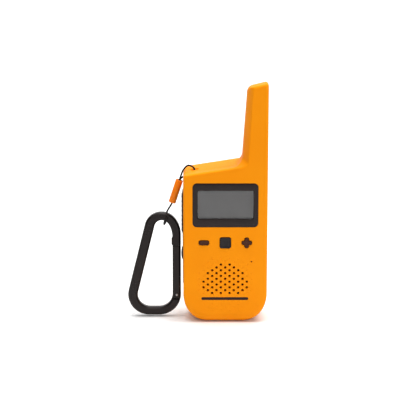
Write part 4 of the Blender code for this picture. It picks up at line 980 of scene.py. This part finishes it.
def edge_round(u, v, ru, rv, drop):
    """How far the face falls back near its edges, for an edge round as a share of the width and height."""
    def fall(t, r):
        d = min(t, 1 - t)
        if d >= r:
            return 0.0
        q = 1 - d / r
        return 1 - math.sqrt(max(1 - q * q, 0.0))
    return drop * min(1.0, math.hypot(fall(u, ru), fall(v, rv)))


def ptt_face(u, v):
    ribs = 8
    phase = (v * (PTT[1] - 0.3 - PTT[0]) - 0.6) / ((PTT[1] - 0.3 - PTT[0] - 1.2) / ribs)
    wave = 0.0
    if 0.0 < phase < ribs:
        f = phase % 1.0
        wave = math.sin(math.pi * min(max((f - 0.05) / 0.9, 0.0), 1.0)) ** 0.7
    side = min(u, 1 - u)
    wave *= min(1.0, max(0.0, (side - 0.04) / 0.10))
    return -29.3 - 0.5 * wave + edge_round(u, v, 0.05, 0.02, 0.55)


def call_face(u, v):
    dome = (1 - (2 * v - 1) ** 2) * (1 - 0.35 * (2 * u - 1) ** 4)
    return -29.3 - 0.6 * dome + edge_round(u, v, 0.07, 0.08, 0.5)


ptt_z1 = PTT[1] - 0.3
side_key("ptt_pad", PTT[2], PTT[3], PTT[0], ptt_z1, ptt_face, M["ptt"], "ptt", ("ptt_button",))
side_key("call_pad", CALL[2], CALL[3], CALL[0], CALL[1], call_face, M["ptt"], "call", ("call_button",), 14, 24)
loft("ptt_plunger", [yz(rounded(-5.6, -1.8, 73.0, 78.0, 0.4, 3), x) for x in (-28.5, -25.95, -25.9)], M["black"], body="ptt", slot="black_plastic")
loft("call_plunger", [yz(rounded(-5.2, -2.2, 44.8, 48.4, 0.4, 3), x) for x in (-28.5, -25.95, -25.9)], M["black"], body="call", slot="black_plastic")


# ------------------------------------------------------------------ port cover, battery door, belt clip
def soft_panel(name, poly_at, plane, inner, outer, edge, mat, **kw):
    rings = [plane(poly_at(0), inner)]
    sign = 1 if outer > inner else -1
    for k in range(6):
        a = math.radians(90.0 * k / 5)
        rings.append(plane(poly_at(edge * (1 - math.cos(a))), outer - sign * edge * (1 - math.sin(a))))
    return loft(name, rings, mat, **kw)


cover = soft_panel("port_flap_cover", lambda g: rounded(py0 + g, py1 - g, pz0 + g, pz1 - g, 0.9 - g * 0.5, 8), yz, 27.25, 28.75, 0.35, M["rubber_yellow"], body="port_flap", replaces=("port_cover",), slot="rubber_yellow", smooth=50)
t1 = turned("t_barrel", (27.95, py1 + 0.65, pz0 + 0.4), (0, 0, 1), [(0, 0.42), (0.2, 0.62), (pz1 - pz0 - 1.0, 0.62), (pz1 - pz0 - 0.8, 0.42)], 24, cutter=True)
t2 = loft("t_web", [[(27.5, py1 - 0.4, z), (28.4, py1 - 0.4, z), (28.4, py1 + 0.6, z), (27.5, py1 + 0.6, z)] for z in (pz0 + 0.6, pz1 - 0.6)], cutter=True)
t3 = loft("t_nail", [[(28.35, py0 - 0.5, z), (29.3, py0 - 0.5, z), (29.3, py0 + 1.3, z), (28.9, py0 + 1.3, z), (28.35, py0 + 0.5, z)] for z in (pz0 + 4.5, pz1 - 4.5)], cutter=True)
cut(cover, t1, "UNION")
cut(cover, t2, "UNION")
cut(cover, t3)
settle(cover, t1, t2, t3)
dress(cover, M["rubber_yellow"], None, smooth=45)

door = soft_panel("door_panel", lambda g: rounded(dx0 + g, dx1 - g, dz0 + g, dz1 - g, 3.3 - g * 0.5, 12), xz, CASE_BACK - 1.6, CASE_BACK, 0.3, M["case_rear"], body="door", replaces=("battery_door",), slot="case_yellow", smooth=50)
ts = [loft("t_lock", mouth(lambda g: circle(0, 13.5, 4.2 + g, 48), CASE_BACK, 4.0, 0.2, up=1), cutter=True)]
for k in range(5):
    z = 46.0 - k * 2.1
    ts.append(loft(f"t_grip{k}", [[(x, CASE_BACK + 1, z + 0.9), (x, CASE_BACK - 0.05, z + 0.45), (x, CASE_BACK - 0.35, z), (x, CASE_BACK - 0.05, z - 0.45), (x, CASE_BACK + 1, z - 0.9)] for x in (-8.0, 8.0)], cutter=True))
for t in ts:
    cut(door, t)
settle(door, *ts)
dress(door, M["case_rear"], None, smooth=35)
lock = turned("lock_disc", (0, CASE_BACK - 1.7, 13.5), (0, 1, 0), [(0, 0), (0, 3.8), (0.2, 4.0), (1.6, 4.0), (1.88, 3.85), (2.0, 3.5), (2.0, 0)], 48, M["black"], body="lock", replaces=("door_lock",), slot="black_plastic")
t = loft("t_slot", [[(x, CASE_BACK - 0.7, 13.0), (x, CASE_BACK - 0.7, 14.0), (x, CASE_BACK + 0.15, 14.05), (x, CASE_BACK + 2, 14.6), (x, CASE_BACK + 2, 12.4), (x, CASE_BACK + 0.15, 12.95)] for x in (-3.4, 3.4)], cutter=True)
cut(lock, t)
settle(lock, t)
dress(lock, M["black"], None, smooth=35)

py, pz = CLIP_PIN_AT


def clip_profile():
    pts = []
    for a in range(0, 181, 15):
        pts.append(((CLIP_IN + CLIP_OUT) / 2 - 0.9 * math.cos(math.radians(a)), 94.1 + 0.9 * math.sin(math.radians(a))))
    pts.append((CLIP_OUT, 64.4))
    for a in range(15, 91, 15):
        pts.append((CLIP_OUT - 2.4 + 2.4 * math.cos(math.radians(a)), 63.4 - 2.2 * math.sin(math.radians(a))))
    pts += [(18.2, 60.72), (17.2, 60.9), (16.3, 61.6), (15.8, 62.4), (15.7, 63.2), (15.72, 64.1), (15.95, 64.5), (16.3, 64.35), (17.7, 63.1)]
    for a in range(0, 91, 15):
        pts.append((CLIP_IN - 1.5 + 1.5 * math.sin(math.radians(a)), 64.6 - 1.4 * math.cos(math.radians(a))))
    return pts


prof = clip_profile()
half, r = 6.6, 0.5
clip = loft("clip_lever", [[(x, p[0], p[1]) for p in prof] for x in (-half, -half + 0.25, half - 0.25, half)], M["black"], body="clip", replaces=("belt_clip",), slot="black_plastic", smooth=35)
bev = clip.modifiers.new("bevel", "BEVEL")
bev.width, bev.segments, bev.limit_method, bev.angle_limit = 0.0003, 3, "ANGLE", math.radians(50)
t1 = loft("t_lug", [[(x, py - 2.2, pz - 1.5), (x, CLIP_IN + 0.6, pz - 2.4), (x, CLIP_IN + 0.6, pz + 2.4), (x, py - 2.2, pz + 1.5)] for x in (-6.2, 6.2)], cutter=True)
t2 = loft("t_drill", [yz(circle(py, pz, 1.2, 28), x) for x in (-9, 9)], cutter=True)
t3 = loft("t_spring", [[(x, 15.0, pz - 3.2), (x, CLIP_OUT - 0.6, pz - 3.2), (x, CLIP_OUT - 0.6, pz + 3.2), (x, 15.0, pz + 3.2)] for x in (-2.6, 2.6)], cutter=True)
cut(clip, t1, "UNION")
cut(clip, t2)
cut(clip, t3)
settle(clip, t1, t2, t3)
ts = []
for k in range(5):
    z = 93.6 - k * 1.3
    t = loft(f"t_thumb{k}", [[(x, CLIP_OUT + 1.2, z + 0.7), (x, CLIP_OUT - 0.05, z + 0.35), (x, CLIP_OUT - 0.3, z), (x, CLIP_OUT - 0.05, z - 0.35), (x, CLIP_OUT + 1.2, z - 0.7)] for x in (-5.2, 5.2)], cutter=True)
    cut(clip, t)
    ts.append(t)
settle(clip, *ts)
dress(clip, M["black"], None, smooth=35)


# ------------------------------------------------------------------ lanyard: loop, bead, cord
def smooth_path(points, step):
    p = [Vector(q) for q in points]
    p = [p[0] * 2 - p[1]] + p + [p[-1] * 2 - p[-2]]
    fine = []
    for i in range(1, len(p) - 2):
        for k in range(48):
            t = k / 48.0
            a, b, c, d = p[i - 1], p[i], p[i + 1], p[i + 2]
            fine.append(0.5 * ((2 * b) + (c - a) * t + (2 * a - 5 * b + 4 * c - d) * t * t + (3 * b - a - 3 * c + d) * t ** 3))
    fine.append(p[-2])
    total = sum((fine[i + 1] - fine[i]).length for i in range(len(fine) - 1))
    count = max(2, round(total / step))
    out, run, k = [fine[0]], 0.0, 1
    for i in range(len(fine) - 1):
        seg = (fine[i + 1] - fine[i]).length
        while k < count and run + seg >= total * k / count:
            out.append(fine[i].lerp(fine[i + 1], (total * k / count - run) / seg))
            k += 1
        run += seg
    out.append(fine[-1])
    return out, total


def rope(name, pts, r, mat, n=20, lay=2.6, **kw):
    """A braided cord along the points: its surface rises and falls with the yarns that cross on it."""
    verts, faces, uvs = [], [], []
    t = (pts[1] - pts[0]).normalized()
    u = t.orthogonal().normalized()
    run = 0.0
    for i, q in enumerate(pts):
        if i:
            run += (q - pts[i - 1]).length
        t2 = (pts[min(i + 1, len(pts) - 1)] - pts[max(i - 1, 0)]).normalized()
        u = (t.rotation_difference(t2)) @ u
        u = (u - t2 * u.dot(t2)).normalized()
        t = t2
        v = t.cross(u)
        for k in range(n):
            a = 2 * math.pi * k / n
            w1 = math.cos(4 * a + 2 * math.pi * run / lay)
            w2 = math.cos(4 * a - 2 * math.pi * run / lay)
            rr = r * (0.95 + 0.05 * max(w1, w2))
            verts.append(tuple(q + (u * math.cos(a) + v * math.sin(a)) * rr))
            uvs.append((k / n, run / 1000.0))
    ends = []
    for q, s in ((pts[0], 0), (pts[-1], (len(pts) - 1) * n)):
        ends.append(len(verts))
        verts.append(tuple(q))
    faces = loft_faces(n, len(pts), False)
    for k in range(n):
        faces.append((ends[0], (k + 1) % n, k))
        s = (len(pts) - 1) * n
        faces.append((ends[1], s + k, s + (k + 1) % n))
    ob = make(name, verts, faces, mat, smooth=60, **kw)
    uv = ob.data.uv_layers.new(name="UVMap")
    uvs += [(0, 0), (0, run / 1000.0)]
    for loop in ob.data.loops:
        uv.data[loop.index].uv = uvs[loop.vertex_index]
    return ob


bead_top, bead_low = Vector((BEAD_TOP[0], 0, BEAD_TOP[1])), Vector((BEAD_LOW[0], 0, BEAD_LOW[1]))
down = (bead_low - bead_top)
L = down.length
down.normalize()
ends = 0.75
loop_pts = [bead_top + down * 2.2 + Vector((0, -ends, 0)), bead_top + down * 0.4 + Vector((0, -ends, 0)), (-30.0, -0.8, 100.4), (-28.4, -0.8, 104.2), (-25.6, -0.6, 107.1), (-22.6, -0.3, 106.5), (-20.9, 0.0, 104.6), (-21.5, 0.1, 102.6), (-24.4, 0.2, 101.0), (-27.6, 0.4, 99.6), (-29.6, 0.8, 98.4), bead_top + down * 0.4 + Vector((0, ends, 0)), bead_top + down * 2.2 + Vector((0, ends, 0))]
path, loop_len = smooth_path(loop_pts, 0.18)
loop = rope("eyelet_loop", path, CORD_R, M["cord"], body=None, replaces=("lanyard_loop",), slot="cord")
to_row((-24.8, 0, 104.8))
to_row((-30.6, 0, 98.6))
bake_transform(loop)
to_row((EYE_TOP[0], 0, EYE_TOP[1] + 1.5))
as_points([to_row(p) for p in path[::6]] + [to_row(path[-1])])

wrap = 4.8
hook_mid = Vector((HOOK_AT[0], 0, HOOK_AT[1]))
n_dir = Vector((-down.z, 0, down.x))
cord_pts = [bead_top + down * 2.9, bead_top + down * 8.0, bead_top + down * (L - 1.0), bead_top + down * (L + 1.3)]
for deg in (38, 70, 105, 140, 175, 210, 245, 280, 305):
    g = math.radians(deg)
    cord_pts.append(hook_mid + Vector((0, 1, 0)) * (wrap * math.sin(g)) - down * (wrap * math.cos(g) - CORD_SLACK * max(0.0, -math.cos(g))) + n_dir * (0.5 * (deg - 171.0) / 134.0))
path2, cord_len = smooth_path(cord_pts, 0.18)
cord = rope("hanging_cord", path2, CORD_R, M["cord"], body="lanyard", replaces=("lanyard_cord",), slot="cord")

prof = [(0.0, BEAD_BORE + 0.1), (0.0, BEAD_R - 0.3), (0.04, BEAD_R - 0.15), (0.15, BEAD_R - 0.04), (0.3, BEAD_R), (L * 0.5, BEAD_R), (L - 0.3, BEAD_R), (L - 0.15, BEAD_R - 0.04), (L - 0.04, BEAD_R - 0.15), (L, BEAD_R - 0.3), (L, BEAD_BORE + 0.1), (L - 0.3, BEAD_BORE), (0.3, BEAD_BORE)]
bead = turned("sleeve_bead", bead_top, down, prof, 48, M["bead"], closed=True, body="lanyard", replaces=("cord_bead",), slot="bead", smooth=50)

to_row(bead_top + down * 2.9)
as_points([to_row(p) for p in path2[::6]] + [to_row(path2[-1])])


# ------------------------------------------------------------------ carabiner
def hook_outline(left, right, low, high, radii, n):
    def left_x(z):
        return HOOK_LEFT + (z - 39.8) * HOOK_LEAN + left / math.cos(math.atan(HOOK_LEAN))
    zb, zt, xr = HOOK_BOTTOM + low, HOOK_TOP - high, HOOK_RIGHT - right
    quad = [(left_x(zb), zb), (xr, zb), (xr, zt), (left_x(zt), zt)]
    sides = []
    for k in range(4):
        if k == 2:
            a, b = radii[k]
            sides.append([(xr - a + a * math.cos(g), zt - b + b * math.sin(g)) for g in (math.radians(90.0 * i / n) for i in range(n + 1))])
        else:
            sides.append([tuple(v) for v in corner(quad[k - 1], quad[k], quad[(k + 1) % 4], radii[k], n)])
    return sides


def bar_section(half_w, half_d, flat=0.62, r=0.35):
    """The stock's cross section: a rectangle with broad bevels, its corners eased."""
    w, d = half_w, half_d
    fw, fd = w - min(1.15, w * 0.45), d - min(1.05, d * 0.45)
    raw = [(w, -fd), (w, fd), (fw, d), (-fw, d), (-w, fd), (-w, -fd), (-fw, -d), (fw, -d)]
    pts = []
    for k in range(8):
        for v in corner(raw[k - 1], raw[k], raw[(k + 1) % 8], r, 3):
            pts.append((v.x, v.y))
    return pts


def bar(name, stations, mat, caps=0.35, **kw):
    """Stock swept through stations of (outer point, inner point, half depth) in x, z; ends eased by caps."""
    rings = []
    for k, (o, i, d) in enumerate(stations):
        o, i = Vector(o), Vector(i)
        c, side = (o + i) / 2, (o - i)
        w = side.length / 2
        side.normalize()
        rings.append([(c.x + side.x * a, b, c.y + side.y * a) for a, b in bar_section(w, d)])
    def eased(first, second):
        c0 = sum((Vector(p) for p in first), Vector()) / len(first)
        c1 = sum((Vector(p) for p in second), Vector()) / len(second)
        dirn = (c0 - c1).normalized()
        out = []
        for s, back in ((1.0, caps), (1 - 0.3 * caps / 2.8, caps * 0.3), (1 - caps / 2.8, 0.0)):
            out.append([tuple(c0 + (Vector(p) - c0) * s - dirn * back) for p in first])
        return out
    head = eased(rings[0], rings[1])[::-1]
    tail = eased(rings[-1], rings[-2])
    return loft(name, head + rings[1:-1] + tail, mat, **kw)


outer = hook_outline(0, 0, 0, 0, (14.5, 15.0, (12.8, 16.0), 11.6), 28)
inner = hook_outline(HOOK_SPINE, HOOK_GATE, HOOK_ENDS, HOOK_ENDS, (8.8, 9.4, (7.0, 12.2), 5.0), 28)
nose_z, foot_z = 51.3, 18.6
pairs = []
for k in (2, 3, 0, 1):
    pairs += list(zip(outer[k], inner[k]))
pairs.append(((HOOK_RIGHT, foot_z), (HOOK_RIGHT - HOOK_GATE, foot_z)))
stations = []
for (o0, i0), (o1, i1) in zip(pairs, pairs[1:]):
    gap_ = (Vector(o1) - Vector(o0)).length
    m = max(1, int(gap_ / 2.5))
    for s in range(m):
        f = s / m
        stations.append((Vector(o0).lerp(Vector(o1), f), Vector(i0).lerp(Vector(i1), f), HOOK_D / 2))
stations.append((Vector(pairs[-1][0]), Vector(pairs[-1][1]), HOOK_D / 2))


def knuckle(z):
    """How far the nose stands in on its inner side at height z."""
    up = min(max((nose_z + 5.4 - z) / 0.8, 0.0), 1.0)
    return 0.6 * up * up * (3 - 2 * up)


# the stations up the nose, close enough together to hold the knuckle's shape
head_o, head_i = outer[2][0][1], inner[2][0][1]
nose = []
for k in range(18):
    f = k / 18.0
    zo, zi = nose_z + f * (head_o - nose_z), nose_z + f * (head_i - nose_z)
    nose.append((Vector((HOOK_RIGHT, zo)), Vector((HOOK_RIGHT - HOOK_GATE - knuckle(zi), zi)), HOOK_D / 2))
stations = nose + stations
hook = bar("carabiner_stock", stations, M["anodised"], body="carabiner", replaces=("carabiner_body",), slot="carabiner", smooth=28)
gx, gz = GATE_PIN_AT
ts = []
for ya_, yb_ in ((0.95, 6.0), (-6.0, -0.95)):
    ts.append(loft("t_tongue", [xz([(gx - 6, gz - 3.4), (gx + 6, gz - 3.4), (gx + 6, 25.0), (gx - 6, 25.0)], y) for y in (ya_, yb_)], cutter=True))
ts.append(loft("t_pinhole", [xz(circle(gx, gz, 0.95, 24), y) for y in (-6, 6)], cutter=True))
for t in ts:
    cut(hook, t)
settle(hook, *ts)
dress(hook, M["anodised"], None, smooth=28)
weighted(hook)

g0, g1 = HOOK_RIGHT - HOOK_GATE + 0.05, HOOK_RIGHT - 0.05
gate_st = [(Vector((g1, nose_z - 0.35)), Vector((g0, nose_z - 0.35)), HOOK_D / 2 - 0.05)]
z = nose_z - 0.8
while z > gz + 0.5:
    bump_ = 0.55 * math.exp(-((z - (nose_z - 2.2)) / 1.3) ** 2)
    gate_st.append((Vector((g1, z)), Vector((g0 - 0.0, z)), HOOK_D / 2 - 0.05))
    z -= 1.5
for a in range(0, 76, 15):
    c, s = math.cos(math.radians(a)), math.sin(math.radians(a))
    gate_st.append((Vector((gx + 2.85 * c, gz - 2.85 * s)), Vector((gx - 2.85 * c, gz - 2.85 * s)), HOOK_D / 2 - 0.05 - 0.5 * s * s))
gate = bar("gate_arm", gate_st, M["anodised"], caps=0.2, body="gate", replaces=("carabiner_gate",), slot="carabiner", smooth=28)
ts = [loft("t_fork", [xz([(gx - 5, gz - 6), (gx + 5, gz - 6), (gx + 5, foot_z + 1.6), (gx - 5, foot_z + 1.6)], y) for y in (-1.3, 1.3)], cutter=True),
      loft("t_pin2", [xz(circle(gx, gz, 0.95, 24), y) for y in (-6, 6)], cutter=True)]
for t in ts:
    cut(gate, t)
settle(gate, *ts)
dress(gate, M["anodised"], None, smooth=28)
weighted(gate)
turned("gate_rivet", (gx, -2.3, gz), (0, 1, 0), [(0, 0), (0.0, 0.45), (0.12, 0.66), (0.3, 0.7), (4.3, 0.7), (4.48, 0.66), (4.6, 0.45), (4.6, 0)], 28, M["steel"], body="carabiner", replaces=("gate_pin",), slot="tin")

# ------------------------------------------------------------------ materials on the CAD nodes that stay
keep = {
    "housing_seal": "rubber", "lcd_panel": "lcd", "backlight": "white", "lcd_holder": "white", "keypad_mat": "rubber",
    "main_board": "board", "side_board": "board", "rf_shield": "tin", "audio_chip": "black", "antenna_feed": "gold", "antenna_coil": "copper",
    "speaker_felt": "felt", "speaker_frame": "tin", "speaker_cone": "cone", "speaker_magnet": "tin", "microphone": "tin", "mic_boot": "rubber",
    "ptt_switch": "tin", "call_switch": "tin", "usb_connector": "tin", "accessory_jack": "black",
    "battery_cell_1": "cell", "battery_cell_2": "cell", "battery_cell_3": "cell", "contact_low": "gold", "contact_high": "gold",
    "clip_base": "black", "clip_pin": "steel", "clip_spring": "steel", "clip_screw_1": "tin", "clip_screw_2": "tin",
    "housing_screw_1": "tin", "housing_screw_2": "tin", "housing_screw_3": "tin", "housing_screw_4": "tin",
}
for name, key in keep.items():
    me = NODES[name].data
    me.materials.clear()
    me.materials.append(M[key])
    for poly in me.polygons:
        poly.material_index = 0

# ------------------------------------------------------------------ floor
fm, nt, p = new_mat("floor_pale")
fl = noise(nt, coords(nt), 12.0, 2.0)
nt.links.new(mixed(nt, fl, (0.90, 0.90, 0.90), (0.92, 0.92, 0.92)), p.inputs["Base Color"])
p.inputs["Roughness"].default_value = 0.7
p.inputs["Specular IOR Level"].default_value = 0.2
bm = bmesh.new()
rows = []
S = 6.0
prof = [(-S, 0.0), (1.2, 0.0)] + [(1.2 + 1.2 * math.sin(math.radians(a)), 1.2 - 1.2 * math.cos(math.radians(a))) for a in range(10, 91, 10)] + [(2.4, 5.0)]
for y, z in prof:
    rows.append([bm.verts.new((-S, y, z - 0.0002)), bm.verts.new((S, y, z - 0.0002))])
for a, b in zip(rows, rows[1:]):
    bm.faces.new((a[0], a[1], b[1], b[0]))
me = bpy.data.meshes.new("floor")
bm.to_mesh(me)
bm.free()
me.shade_smooth()
me.materials.append(fm)
floor = bpy.data.objects.new("floor", me)
bpy.context.scene.collection.objects.link(floor)

bpy.context.view_layer.update()
